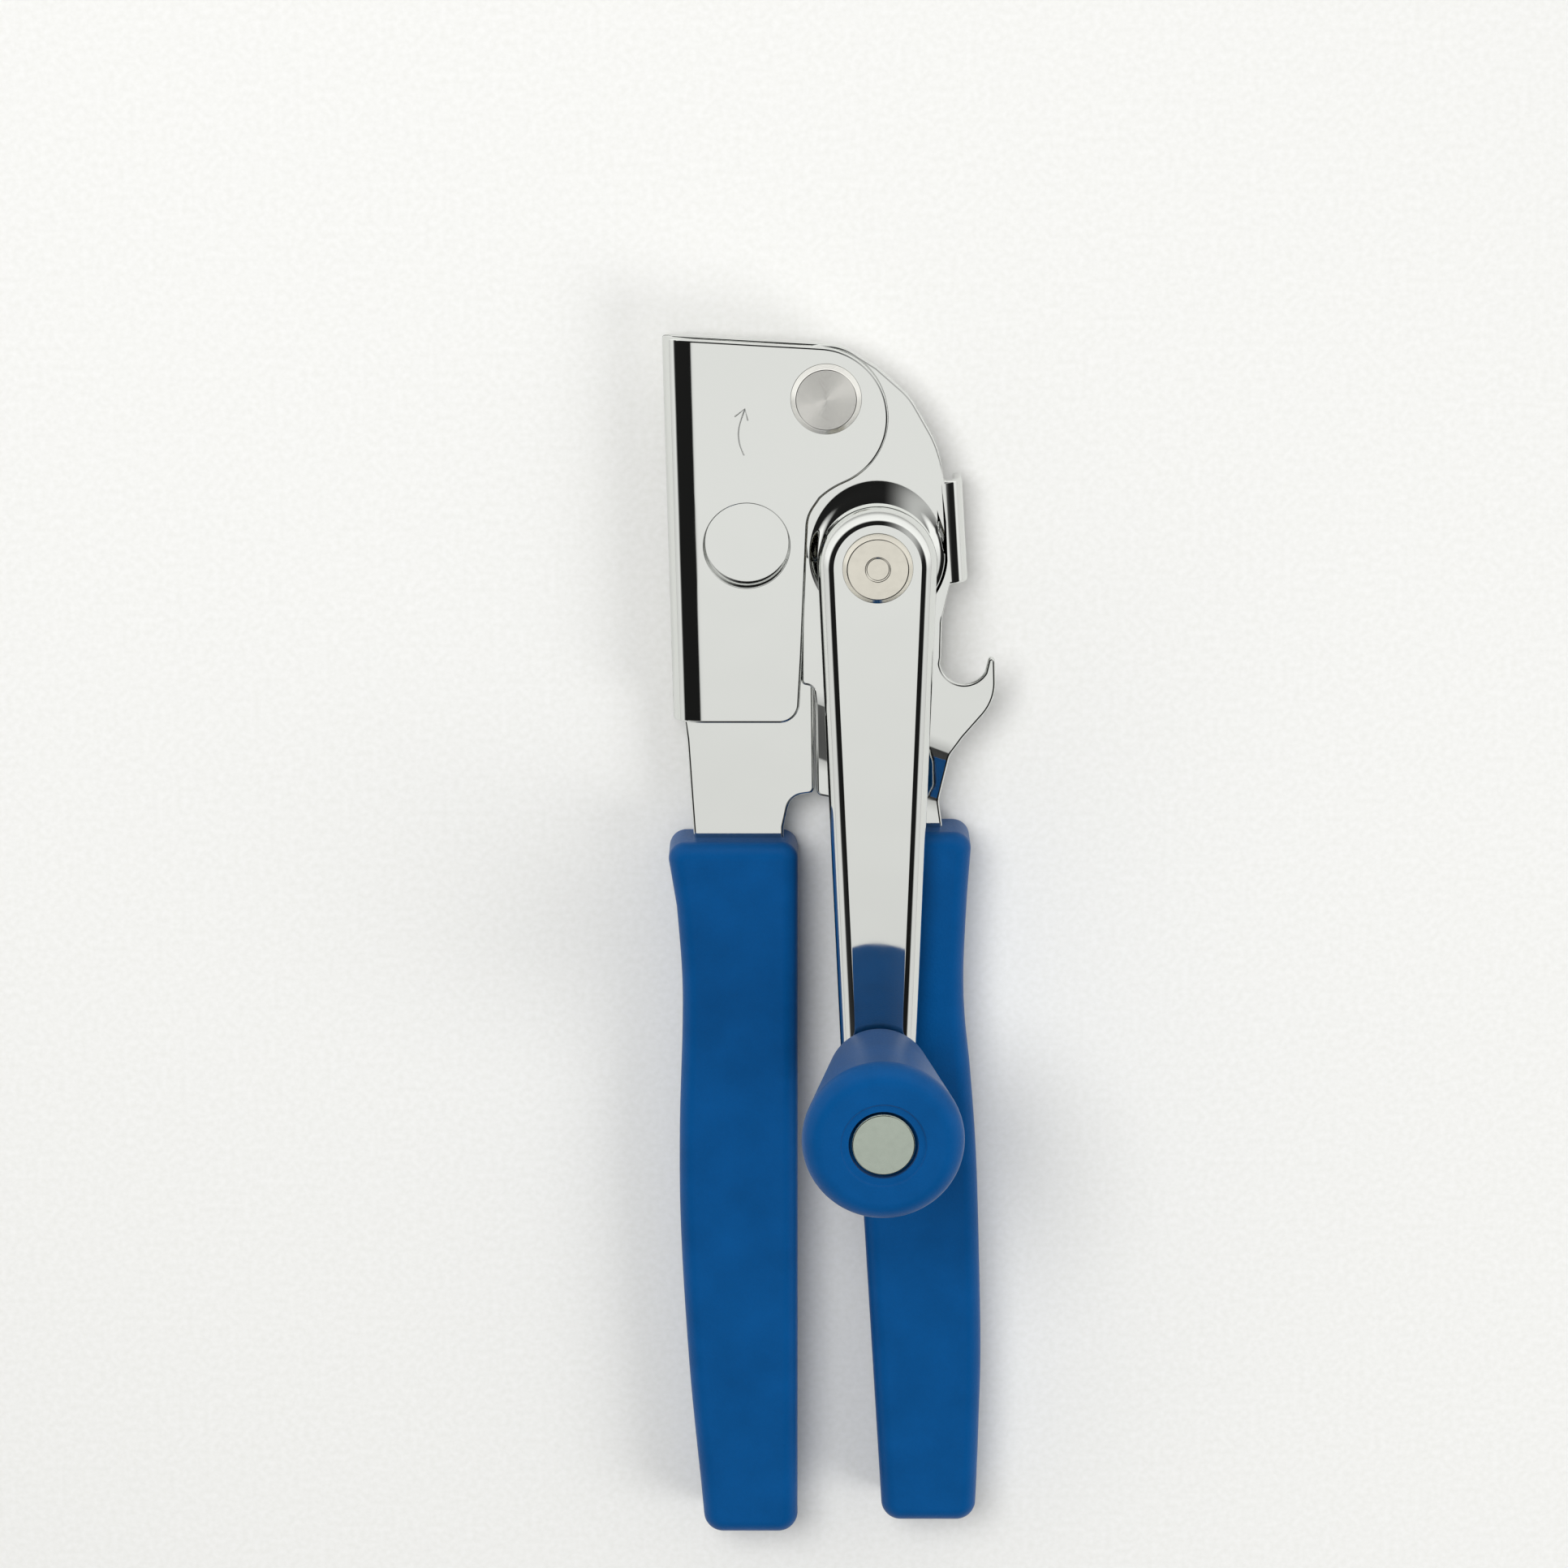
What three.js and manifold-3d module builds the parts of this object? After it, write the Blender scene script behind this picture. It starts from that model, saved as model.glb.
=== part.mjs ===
// A hand-cranked can opener: two pressed steel arms on one rivet, a cutting wheel and a feed wheel
// geared together behind them, a long crank with a turning knob, and two moulded grips.
// Millimetres. While it is being built, x = 0, y = 0 is the handle pivot, +Y runs to the head,
// and z = 0 is the front face of the left arm. The last lines stand it on its own lowest point.
import * as THREE from "three";
import { mergeVertices } from "three/addons/utils/BufferGeometryUtils.js";
import Module from "manifold-3d";

const wasm = await Module();
wasm.setup();

// ---- driving dimensions ----
const OVERALL_LENGTH = 222.25; // head to the end of the longer grip
const HEAD_TOP = 10.6; // top of the head above the pivot
const SHEET = 1.6; // pressed steel of both arms
const FOLD_R = 3.2; // outside radius of the left arm's folded edge
const FOLD_X = -25.1; // centre line of the fold, level with the pivot
const FOLD_SLANT = 1.4; // degrees that the fold leans
const LEAF_BOTTOM = -57.9; // lower edge of the front leaf
const PIVOT = { x: 0, y: 0 };
const LOBE = { x: -1.6, y: -3.4, r: 12.45 }; // round shoulder of the left arm beside the pivot
const HOLLOW_TURN = 20; // degrees of the hollow below it, which clears the crank shaft's seat
const SHAFT = { x: 8.94, y: -28.17 }; // crank shaft axis
const CUTTER = { x: -13.85, y: -25.95 }; // cutting wheel axis
const RECESS_R = 7.55; // pressed cup over the cutting wheel
const RECESS_DEPTH = 3.0;
const RUN_GAP = 0.2; // running gap between faces that slide
const FIT = 0.15; // radial clearance of turning and seated fits
const STOP_GAP = 0.4; // gap between the two arms when the handles are closed
const TANG_EDGE = -2.2; // edge of the left arm that faces the right arm
const TANG_INSIDE = 70; // length of each tang held in its grip
const LEFT_TANG_OUTER = -22.6; // outer edges of the two tangs, inside the grips
const RIGHT_TANG_OUTER = 21.0;

const BOSS_BASE_R = 11.6; // raised seat round the crank shaft
const BOSS_TOP_R = 9.8;
const BOSS_RISE = 1.4;
const JOGGLE_SKEW = 21; // degrees between the bend lines and the X axis
const JOGGLE_TOP = -51.9; // the two bend lines, measured square to themselves
const JOGGLE_BOTTOM = -61.05;
const TAB = { x: 20.7, y: -14.8, length: 18.4, slant: 3.7, depth: 8.0 }; // rim guide, bent back
const THROAT = { x: 24.5, y: -46.9, r: 4.3 }; // bottle opener hook

const PIVOT_R = 4.0; // pivot rivet shank
const PIVOT_HEAD_R = 6.2;
const HEAD_HEIGHT = 1.2; // rivet heads stand this proud
const PIVOT_TAIL_R = 5.6;
const WASHER = 0.6; // plain washer thickness
const WASHER_R = 6.0; // outside radius of the small washers and rings
const PIVOT_WASHER_R = 6.6;
const PIVOT_SPACER_R = 7.5;
const SPRING_R = 6.6; // dished spring washer under the crank
const SPRING_SHEET = 0.4;

const TEETH = 12;
const PRESSURE_ANGLE = 25;
const ADDENDUM = 0.8; // in modules, shortened so that so few teeth still clear
const DEDENDUM = 1.0;
const BACKLASH = 0.35; // along the pitch circle
const GEAR_THICK = 1.8;
const WHEEL_OVERLAP = 0.9; // how far the cutting edge passes over the feed wheel
const FEED_R = 10.8;
const FEED_THICK = 2.0;
const FEED_SERRATIONS = 40;
const FEED_BITE = 0.55; // depth of each serration
const CUTTER_THICK = 1.1;
const CUTTER_BEVEL = 2.6; // width of the ground bevel
const RETAINER = 0.8; // thickness of the feed wheel's retaining nut
const STUD_R = 3.2;
const STUD_HEAD_R = 5.4;

const SHAFT_R = 3.6; // running part of the crank shaft
const SQUARE = Math.SQRT2 * SHAFT_R - 0.2; // side of its square tail, just inside the round part
const BUSHING_WALL = 1.5;
const BUSHING_FLANGE_R = 7.2;
const COLLAR_R = 6.0; // shoulder under the crank
const COLLAR_FOOT = 1.5; // its underside, above the left arm's face
const SHAFT_HEAD_R = 6.15;
const SHAFT_NECK_R = 4.2;

const CRANK_FACE = 9.0; // front face of the crank above the left arm
const CRANK_SHEET = 1.5;
const CRANK_DEPTH = 6.0; // height of its turned-down edge
const CRANK_EDGE_R = 2.3; // outside radius of that edge
const CRANK_HUB_R = 10.4;
const CRANK_TIP_R = 6.6;
const THROW = 91.93; // crank shaft to knob, down the opener
const KNOB_ASIDE = 0.66; // and across it, with the crank at rest
const KNOB = { x: SHAFT.x + KNOB_ASIDE, y: SHAFT.y - THROW };
const KNOB_LENGTH = 39.0;
const KNOB_SMALL_R = 9.2;
const KNOB_LARGE_R = 13.9;
const KNOB_EDGE_R = 3.6;
const KNOB_FOOT_R = 1.2;
const KNOB_POCKET_R = 5.95; // pocket for the pin head
const KNOB_DISH_R = 7.1; // shallow dish round that pocket
const KNOB_DISH = 0.4;
const PIN_R = 3.2;
const PIN_HEAD_R = 5.56;
const PIN_HEAD = 1.4;
const PIN_SUNK = 0.5; // pin head below the knob's end
const PIN_TAIL_R = 4.4; // riveted end under the crank
const PIN_TAIL = 1.2;

const GRIP_EDGE_R = 3.2;
const GRIP_CORNER_R = 4.2; // corners of a grip's outline
const GRIP_FRONT = 0.9; // grips stand this far in front of the left arm's face
const GRIP_WALL = 2.6; // plastic beside the tangs
const LEFT_GRIP_TOP = -80.0;
const RIGHT_GRIP_TOP = -78.1;
const GRIP_DIFFERENCE = 2.35; // the right grip ends this much higher than the left
const LEFT_GRIP_INNER = -4.8; // edge that faces the other grip
const RIGHT_GRIP_INNER = 2.7; // the same edge at the top of the right grip
const RIGHT_GRIP_SLANT = 3.56; // degrees that it leans away

const ROUND = 40; // sides of the larger round pieces
const ARC_STEP = 13; // degrees between points on an arc
const MARGIN = 1.0; // how far a cutting tool runs past what it cuts

// ---- levels worked out from the sizes above ----
const FRONT_BACK = -SHEET; // back of the front leaf
const REAR_FACE = -2 * FOLD_R + SHEET; // front of the rear leaf and of both tangs
const REAR_BACK = -2 * FOLD_R;
const ARM_FACE = FRONT_BACK - RUN_GAP; // front of the right arm's upper level
const ARM_BACK = ARM_FACE - SHEET;
const BOSS_FACE = ARM_FACE + BOSS_RISE;
const GEAR_FACE = REAR_BACK - WASHER - 0.5 * RUN_GAP;
const GEAR_BACK = GEAR_FACE - GEAR_THICK;
const CUTTER_FACE = GEAR_BACK - 0.5 * RUN_GAP;
const CUTTER_BACK = CUTTER_FACE - CUTTER_THICK;
const FEED_FACE = CUTTER_BACK - 1.5 * RUN_GAP;
const FEED_BACK = FEED_FACE - FEED_THICK;
const RETAINER_BACK = FEED_BACK - RETAINER - 0.5 * RUN_GAP;
const LOWEST = RETAINER_BACK - RUN_GAP; // the shaft's tail and both grips rest on one level
const CRANK_BACK = CRANK_FACE - CRANK_SHEET;
const KNOB_FOOT = CRANK_FACE + WASHER + RUN_GAP;
const KNOB_TOP = KNOB_FOOT + KNOB_LENGTH;
const LEFT_GRIP_BOTTOM = HEAD_TOP - OVERALL_LENGTH;
const RIGHT_GRIP_BOTTOM = LEFT_GRIP_BOTTOM + GRIP_DIFFERENCE;
const LEFT_TANG_END = LEFT_GRIP_TOP - TANG_INSIDE;
const RIGHT_TANG_END = RIGHT_GRIP_TOP - TANG_INSIDE;

const centres = Math.hypot(SHAFT.x - CUTTER.x, SHAFT.y - CUTTER.y);
const PITCH_R = centres / 2;
const GEAR_MODULE = centres / TEETH;
const CUTTER_R = centres - FEED_R + WHEEL_OVERLAP;
const rad = THREE.MathUtils.degToRad;

// ---- outlines ----
function arc(circle, radius, from, to) {
  const count = Math.max(2, Math.ceil(Math.abs(to - from) / ARC_STEP));
  return Array.from({ length: count + 1 }, (_, i) => {
    const angle = rad(from + ((to - from) * i) / count);
    return [circle.x + radius * Math.cos(angle), circle.y + radius * Math.sin(angle)];
  });
}

// Each corner is [x, y] or [x, y, radius]; a corner with a radius becomes an arc.
function rounded(corners) {
  return corners.flatMap(([x, y, radius], i) => {
    if (!radius) return [[x, y]];
    const before = corners.at(i - 1);
    const after = corners[(i + 1) % corners.length];
    const here = new THREE.Vector2(x, y);
    const back = new THREE.Vector2(before[0], before[1]).sub(here);
    const on = new THREE.Vector2(after[0], after[1]).sub(here);
    const half = back.angleTo(on) / 2;
    const reach = Math.min(radius / Math.tan(half), 0.49 * back.length(), 0.49 * on.length());
    const r = reach * Math.tan(half);
    const start = here.clone().addScaledVector(back.normalize(), reach);
    const end = here.clone().addScaledVector(on.normalize(), reach);
    const middle = back.clone().add(on).normalize();
    const centre = here.clone().addScaledVector(middle, r / Math.sin(half));
    const first = Math.atan2(start.y - centre.y, start.x - centre.x);
    let turn = Math.atan2(end.y - centre.y, end.x - centre.x) - first;
    if (turn > Math.PI) turn -= 2 * Math.PI;
    if (turn < -Math.PI) turn += 2 * Math.PI;
    const a = THREE.MathUtils.radToDeg(first);
    return arc(centre, r, a, a + THREE.MathUtils.radToDeg(turn));
  });
}

function circle(centre, radius, sides = ROUND) {
  return Array.from({ length: sides }, (_, i) => {
    const angle = (2 * Math.PI * i) / sides;
    return [centre.x + radius * Math.cos(angle), centre.y + radius * Math.sin(angle)];
  });
}

// Outline round two circles of different size, as a belt would lie.
function belt(a, ra, b, rb) {
  const along = THREE.MathUtils.radToDeg(Math.atan2(b.y - a.y, b.x - a.x));
  const lean = THREE.MathUtils.radToDeg(Math.acos((ra - rb) / Math.hypot(b.x - a.x, b.y - a.y)));
  return [...arc(a, ra, along + lean, along + 360 - lean), ...arc(b, rb, along - lean, along + lean)];
}

// ---- solids ----
function shapeOf(points) {
  return new THREE.Shape(points.map(([x, y]) => new THREE.Vector2(x, y)));
}

function extrude(points, low, high, bevel) {
  const edge = bevel ?? 0;
  const geometry = new THREE.ExtrudeGeometry(shapeOf(points), {
    depth: high - low - 2 * edge,
    bevelEnabled: edge > 0,
    bevelThickness: edge,
    bevelSize: edge,
    bevelOffset: -edge,
    bevelSegments: 4,
  });
  geometry.translate(0, 0, low + edge);
  return solid(geometry);
}

// Turns a profile of [radius, z] pairs about a vertical axis.
function turned(centre, profile, sides = ROUND) {
  const points = profile.map(([r, z]) => new THREE.Vector2(r, z));
  if (profile[0][0] > 0) points.push(points[0].clone());
  const geometry = new THREE.LatheGeometry(points, sides);
  geometry.rotateX(Math.PI / 2);
  geometry.translate(centre.x, centre.y, 0);
  return solid(geometry);
}

function disc(centre, radius, low, high, sides) {
  return turned(centre, [[0, low], [radius, low], [radius, high], [0, high]], sides);
}

function ring(centre, inner, outer, low, high, sides) {
  return turned(centre, [[inner, low], [outer, low], [outer, high], [inner, high]], sides);
}

// A closed mesh with merged vertices, no flat triangles and its faces pointing out.
function solid(geometry) {
  const bare = new THREE.BufferGeometry();
  bare.setAttribute("position", geometry.getAttribute("position"));
  if (geometry.index) bare.setIndex(geometry.index);
  const merged = mergeVertices(bare, 1e-4);
  const vertProperties = new Float32Array(merged.getAttribute("position").array);
  const index = merged.index.array;
  const kept = [];
  let volume = 0;
  const point = (n) => new THREE.Vector3().fromArray(vertProperties, 3 * n);
  for (let i = 0; i < index.length; i += 3) {
    const [a, b, c] = [index[i], index[i + 1], index[i + 2]];
    if (a === b || b === c || c === a) continue;
    kept.push(a, b, c);
    volume += point(a).dot(point(b).cross(point(c)));
  }
  if (volume < 0) kept.reverse();
  const mesh = new wasm.Mesh({ numProp: 3, vertProperties, triVerts: new Uint32Array(kept) });
  return new wasm.Manifold(mesh);
}

function geometryOf(body) {
  const mesh = body.getMesh();
  const geometry = new THREE.BufferGeometry();
  geometry.setAttribute("position", new THREE.BufferAttribute(new Float32Array(mesh.vertProperties), 3));
  geometry.setIndex(new THREE.BufferAttribute(new Uint32Array(mesh.triVerts), 1));
  geometry.computeVertexNormals();
  return geometry;
}

// Extrudes a profile of [across, z] points along a level line from `start`, `across` being to its left.
function extrudeAlong(profile, start, heading, length) {
  const along = new THREE.Vector3(Math.cos(rad(heading)), Math.sin(rad(heading)), 0);
  const up = new THREE.Vector3(0, 0, 1);
  const across = new THREE.Vector3().crossVectors(up, along);
  const geometry = new THREE.ExtrudeGeometry(shapeOf(profile), { depth: length, bevelEnabled: false });
  geometry.applyMatrix4(new THREE.Matrix4().makeBasis(across, up, along).setPosition(start.x, start.y, 0));
  return solid(geometry);
}

// ---- left arm: one sheet folded double along its outer edge ----
function foldLine(y) {
  return FOLD_X - y * Math.tan(rad(FOLD_SLANT));
}

// The head's right-hand side, from the top edge round the shoulder to the arm's straight edge.
function headEdge(edgeTop, edgeBottom) {
  const toShaft = Math.hypot(SHAFT.x - LOBE.x, SHAFT.y - LOBE.y);
  const meeting = THREE.MathUtils.radToDeg(Math.atan2(SHAFT.y - LOBE.y, SHAFT.x - LOBE.x));
  const hollow = arc(SHAFT, toShaft - LOBE.r, meeting + 180, meeting + 180 + HOLLOW_TURN).slice(1);
  return [
    ...arc(LOBE, LOBE.r, 88, meeting),
    ...hollow,
    ...rounded([hollow.at(-1), [edgeTop, SHAFT.y + 7.4, 7], edgeBottom]).slice(1),
  ];
}

function leftArm() {
  const leaf = [
    [foldLine(HEAD_TOP), HEAD_TOP],
    ...headEdge(-3.1, [-4.7, LEAF_BOTTOM + 3.6]).slice(0, -1),
    ...rounded([[-4.1, -46], [-4.75, LEAF_BOTTOM, 3.6], [foldLine(LEAF_BOTTOM), LEAF_BOTTOM]]).slice(1),
  ];
  const tang = [
    [foldLine(HEAD_TOP), HEAD_TOP],
    ...headEdge(TANG_EDGE, [TANG_EDGE, -40]),
    ...rounded([
      [TANG_EDGE, -50],
      [TANG_EDGE + 0.3, -71.8, 1.2],
      [-6.2, -72.4, 3.6],
      [LEFT_GRIP_INNER - GRIP_WALL, LEFT_GRIP_TOP + 2],
      [LEFT_GRIP_INNER - GRIP_WALL, LEFT_TANG_END, 5],
      [LEFT_TANG_OUTER, LEFT_TANG_END, 5],
      [LEFT_TANG_OUTER, LEFT_GRIP_TOP - 12, 20],
      [-23.9, LEFT_GRIP_TOP + 4],
      [-24.6, LEAF_BOTTOM - 2, 2],
      [foldLine(LEAF_BOTTOM), LEAF_BOTTOM],
    ]).slice(1),
  ];
  const half = Array.from({ length: 13 }, (_, i) => rad(90 + 15 * i));
  const onArc = (r) => half.map((a) => [r * Math.cos(a), -FOLD_R + r * Math.sin(a)]);
  const inner = onArc(FOLD_R - SHEET).reverse();
  const lap = 0.6; // the fold's two legs run this far into the leaves
  const fold = extrudeAlong(
    [[lap, 0], ...onArc(FOLD_R), [lap, REAR_BACK], [lap, REAR_FACE], ...inner, [lap, FRONT_BACK]],
    { x: foldLine(HEAD_TOP), y: HEAD_TOP },
    -90 + FOLD_SLANT,
    (HEAD_TOP - LEAF_BOTTOM) / Math.cos(rad(FOLD_SLANT)),
  );
  const cupR = RECESS_R + 0.8 * SHEET;
  const cup = turned(CUTTER, [
    [0, -RECESS_DEPTH],
    [RECESS_R - 0.5, -RECESS_DEPTH],
    [RECESS_R, 0],
    [RECESS_R, MARGIN],
    [0, MARGIN],
  ]);
  return extrude(leaf, FRONT_BACK, 0)
    .add(extrude(tang, REAR_BACK, REAR_FACE))
    .add(fold)
    .add(disc(CUTTER, cupR, -RECESS_DEPTH - SHEET, FRONT_BACK + 0.4))
    .subtract(cup)
    .subtract(disc(PIVOT, PIVOT_R + FIT, REAR_BACK - MARGIN, MARGIN, 24))
    .subtract(disc(CUTTER, STUD_R + FIT, REAR_BACK - MARGIN, REAR_FACE + 0.05, 24));
}

// ---- right arm: one sheet with a raised seat, a bent rim guide, a hook and a joggle ----
function joggledSheet() {
  const far = 180;
  const drop = ARM_FACE - REAR_FACE;
  const top = [
    [60, ARM_FACE],
    [JOGGLE_TOP, ARM_FACE],
    [JOGGLE_BOTTOM, ARM_FACE - drop],
    [-far, ARM_FACE - drop],
  ];
  const bottom = top.map(([v, z]) => [v, z - SHEET]).reverse();
  const heading = -JOGGLE_SKEW;
  const start = { x: -far * Math.cos(rad(heading)), y: -far * Math.sin(rad(heading)) };
  return extrudeAlong([...top, ...bottom], start, heading, 2 * far);
}

function rightOutline() {
  const inner = RIGHT_GRIP_INNER + GRIP_WALL;
  const lean = Math.tan(rad(RIGHT_GRIP_SLANT));
  const tangInner = (y) => inner + (RIGHT_GRIP_TOP - y) * lean;
  const tabFoot = TAB.x + TAB.length * Math.sin(rad(TAB.slant));
  const edge = TANG_EDGE + STOP_GAP;
  const throat = arc(THROAT, THROAT.r, 184, 330).slice(1);
  return [
    ...arc(PIVOT, 9.2, 200, 52),
    ...rounded([
      [8.8, 5.3],
      [14.6, 0.2, 12],
      [19.6, -8.6, 20],
      [22.1, TAB.y, 0.6],
      [TAB.x, TAB.y],
      [tabFoot, TAB.y - TAB.length],
      [22.8, TAB.y - TAB.length, 0.8],
      [20.5, -39.5, 8],
      [20.4, -46.4],
    ]),
    ...throat.slice(0, -1),
    ...rounded([
      throat.at(-1),
      [28.85, -46.3, 0.6],
      [29.9, -46.9, 0.5],
      [30.3, -54.2, 9],
      [24.4, -61.0, 8],
      [22.1, -64.3, 2],
      [20.2, -73.0, 0.8],
      [20.8, -75.6, 0.8],
      [RIGHT_TANG_OUTER, RIGHT_GRIP_TOP + 1],
      [RIGHT_TANG_OUTER, RIGHT_TANG_END, 3],
      [tangInner(RIGHT_TANG_END), RIGHT_TANG_END, 3],
      [tangInner(RIGHT_GRIP_TOP + 1), RIGHT_GRIP_TOP + 1],
      [3.6, -73.2, 4],
      [edge + 0.3, -72.2, 1.2],
      [edge, -54.9, 1.6],
      [-2.2, -51.6, 1.6],
      [-4.3, -51.3, 1],
      [-4.3, -19],
    ]),
  ];
}

function rightArm() {
  const plan = extrude(rightOutline(), REAR_BACK - MARGIN, MARGIN);
  const z = ARM_FACE - FOLD_R;
  const quarter = Array.from({ length: 7 }, (_, i) => rad(90 - 15 * i));
  const bend = (r) => quarter.map((a) => [r * Math.cos(a), z + r * Math.sin(a)]);
  const foot = ARM_FACE - TAB.depth;
  const section = [
    [-1, ARM_FACE],
    ...bend(FOLD_R),
    [FOLD_R, foot],
    [FOLD_R - SHEET, foot],
    ...bend(FOLD_R - SHEET).reverse(),
    [-1, ARM_BACK],
  ];
  const tab = extrudeAlong(section, { x: TAB.x, y: TAB.y }, -90 + TAB.slant, TAB.length);
  const seatInside = 1; // the seat's hollow is this much smaller than the seat
  const rise = turned(SHAFT, [
    [0, ARM_BACK + 0.3],
    [BOSS_BASE_R, ARM_BACK + 0.3],
    [BOSS_BASE_R, ARM_FACE],
    [BOSS_TOP_R, BOSS_FACE],
    [0, BOSS_FACE],
  ]);
  const hollow = turned(SHAFT, [
    [0, ARM_BACK - MARGIN],
    [BOSS_BASE_R - seatInside, ARM_BACK - MARGIN],
    [BOSS_BASE_R - seatInside, ARM_BACK],
    [BOSS_TOP_R - seatInside, BOSS_FACE - SHEET],
    [0, BOSS_FACE - SHEET],
  ]);
  return joggledSheet()
    .intersect(plan)
    .add(rise)
    .add(tab)
    .subtract(hollow)
    .subtract(disc(PIVOT, PIVOT_R + FIT, ARM_BACK - MARGIN, MARGIN, 24))
    .subtract(disc(SHAFT, SHAFT_R + BUSHING_WALL + 2 * FIT, ARM_BACK - MARGIN, MARGIN, 24));
}

// ---- grips ----
function grip(outline, pocket) {
  return extrude(outline, LOWEST, GRIP_FRONT, GRIP_EDGE_R)
    .subtract(extrude(pocket, REAR_BACK - 2 * FIT, REAR_FACE + 2 * FIT));
}

// Smooth side of a grip. Each point is [x, how far down the grip it is, from 0 to 1].
function sideCurve(top, bottom, points) {
  return new THREE.SplineCurve(points.map(([x, down]) => new THREE.Vector2(x, top + down * (bottom - top))))
    .getPoints(16)
    .map((p) => [p.x, p.y]);
}

function leftGrip() {
  const outer = sideCurve(LEFT_GRIP_TOP, LEFT_GRIP_BOTTOM, [
    [-26.5, 0.09], [-25.65, 0.18], [-25.6, 0.26], [-26.2, 0.41], [-26.05, 0.56], [-24.6, 0.76], [-22.6, 0.93],
  ]);
  const outline = rounded([
    [LEFT_GRIP_INNER, LEFT_GRIP_TOP, GRIP_CORNER_R],
    [-28.4, LEFT_GRIP_TOP, GRIP_CORNER_R],
    ...outer,
    [-21.8, LEFT_GRIP_BOTTOM, GRIP_CORNER_R],
    [LEFT_GRIP_INNER, LEFT_GRIP_BOTTOM, GRIP_CORNER_R],
  ]);
  const pocket = [
    [LEFT_GRIP_INNER - GRIP_WALL + 2 * FIT, LEFT_GRIP_TOP + MARGIN],
    [LEFT_GRIP_INNER - GRIP_WALL + 2 * FIT, LEFT_TANG_END - 2 * FIT],
    [LEFT_TANG_OUTER - 2 * FIT, LEFT_TANG_END - 2 * FIT],
    [LEFT_TANG_OUTER - 2 * FIT, LEFT_GRIP_TOP - 12],
    [-24.4, LEFT_GRIP_TOP + MARGIN],
  ];
  return grip(outline, pocket);
}

function rightGrip() {
  const lean = Math.tan(rad(RIGHT_GRIP_SLANT));
  const inner = (y) => RIGHT_GRIP_INNER + (RIGHT_GRIP_TOP - y) * lean;
  const outer = sideCurve(RIGHT_GRIP_TOP, RIGHT_GRIP_BOTTOM, [
    [28.2, 0.94], [28.5, 0.85], [28.7, 0.75], [28.3, 0.62], [27.5, 0.46],
    [26.3, 0.34], [25.2, 0.26], [24.9, 0.19], [25.4, 0.09],
  ]);
  const outline = rounded([
    [inner(RIGHT_GRIP_TOP), RIGHT_GRIP_TOP, GRIP_CORNER_R],
    [inner(RIGHT_GRIP_BOTTOM), RIGHT_GRIP_BOTTOM, GRIP_CORNER_R],
    [27.9, RIGHT_GRIP_BOTTOM, GRIP_CORNER_R],
    ...outer,
    [26.2, RIGHT_GRIP_TOP, GRIP_CORNER_R],
  ]);
  const side = (y) => inner(y) + GRIP_WALL - 2 * FIT;
  const pocket = [
    [side(RIGHT_GRIP_TOP + MARGIN), RIGHT_GRIP_TOP + MARGIN],
    [side(RIGHT_TANG_END - 2 * FIT), RIGHT_TANG_END - 2 * FIT],
    [RIGHT_TANG_OUTER + 2 * FIT, RIGHT_TANG_END - 2 * FIT],
    [RIGHT_TANG_OUTER + 2 * FIT, RIGHT_GRIP_TOP + MARGIN],
  ];
  return grip(outline, pocket);
}

// ---- pivot ----
function pivotRivet() {
  const chamfer = 0.8;
  const tail = REAR_BACK - WASHER - RUN_GAP;
  return turned(PIVOT, [
    [0, tail - HEAD_HEIGHT],
    [PIVOT_TAIL_R - chamfer, tail - HEAD_HEIGHT],
    [PIVOT_TAIL_R, tail - 0.4],
    [PIVOT_TAIL_R, tail],
    [PIVOT_R, tail],
    [PIVOT_R, 0.02],
    [PIVOT_HEAD_R, 0.02],
    [PIVOT_HEAD_R, 0.4],
    [PIVOT_HEAD_R - 1.3, HEAD_HEIGHT],
    [0, HEAD_HEIGHT],
  ]);
}

function pivotSpacer() {
  return ring(PIVOT, PIVOT_R + FIT, PIVOT_SPACER_R, REAR_FACE + 0.5 * RUN_GAP, ARM_BACK - 0.5 * RUN_GAP, 24);
}

function pivotWasher() {
  const face = REAR_BACK - 0.5 * RUN_GAP;
  return ring(PIVOT, PIVOT_R + FIT, PIVOT_WASHER_R, face - WASHER, face, 24);
}

// ---- geared wheels ----
function gearOutline(centre, phase) {
  const baseR = PITCH_R * Math.cos(rad(PRESSURE_ANGLE));
  const rootR = PITCH_R - DEDENDUM * GEAR_MODULE;
  const tipR = PITCH_R + ADDENDUM * GEAR_MODULE;
  const involute = (r) => {
    const a = Math.acos(Math.min(1, baseR / r));
    return Math.tan(a) - a;
  };
  const halfAtPitch = Math.PI / (2 * TEETH) - BACKLASH / (2 * PITCH_R);
  const halfAt = (r) => halfAtPitch + involute(PITCH_R) - involute(Math.max(r, baseR));
  const radii = [rootR, baseR, (baseR + tipR) / 2, (baseR + 3 * tipR) / 4, tipR];
  const at = (r, angle) => [centre.x + r * Math.cos(angle), centre.y + r * Math.sin(angle)];
  return Array.from({ length: TEETH }, (_, k) => rad(phase) + (2 * Math.PI * k) / TEETH).flatMap((tooth) => [
    ...radii.map((r) => at(r, tooth - halfAt(r))),
    ...radii.map((r) => at(r, tooth + halfAt(r))).reverse(),
  ]);
}

// Direction from the shaft to the cutter; a shaft tooth points along it into a cutter gap.
const meshLine = THREE.MathUtils.radToDeg(Math.atan2(CUTTER.y - SHAFT.y, CUTTER.x - SHAFT.x));

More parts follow.
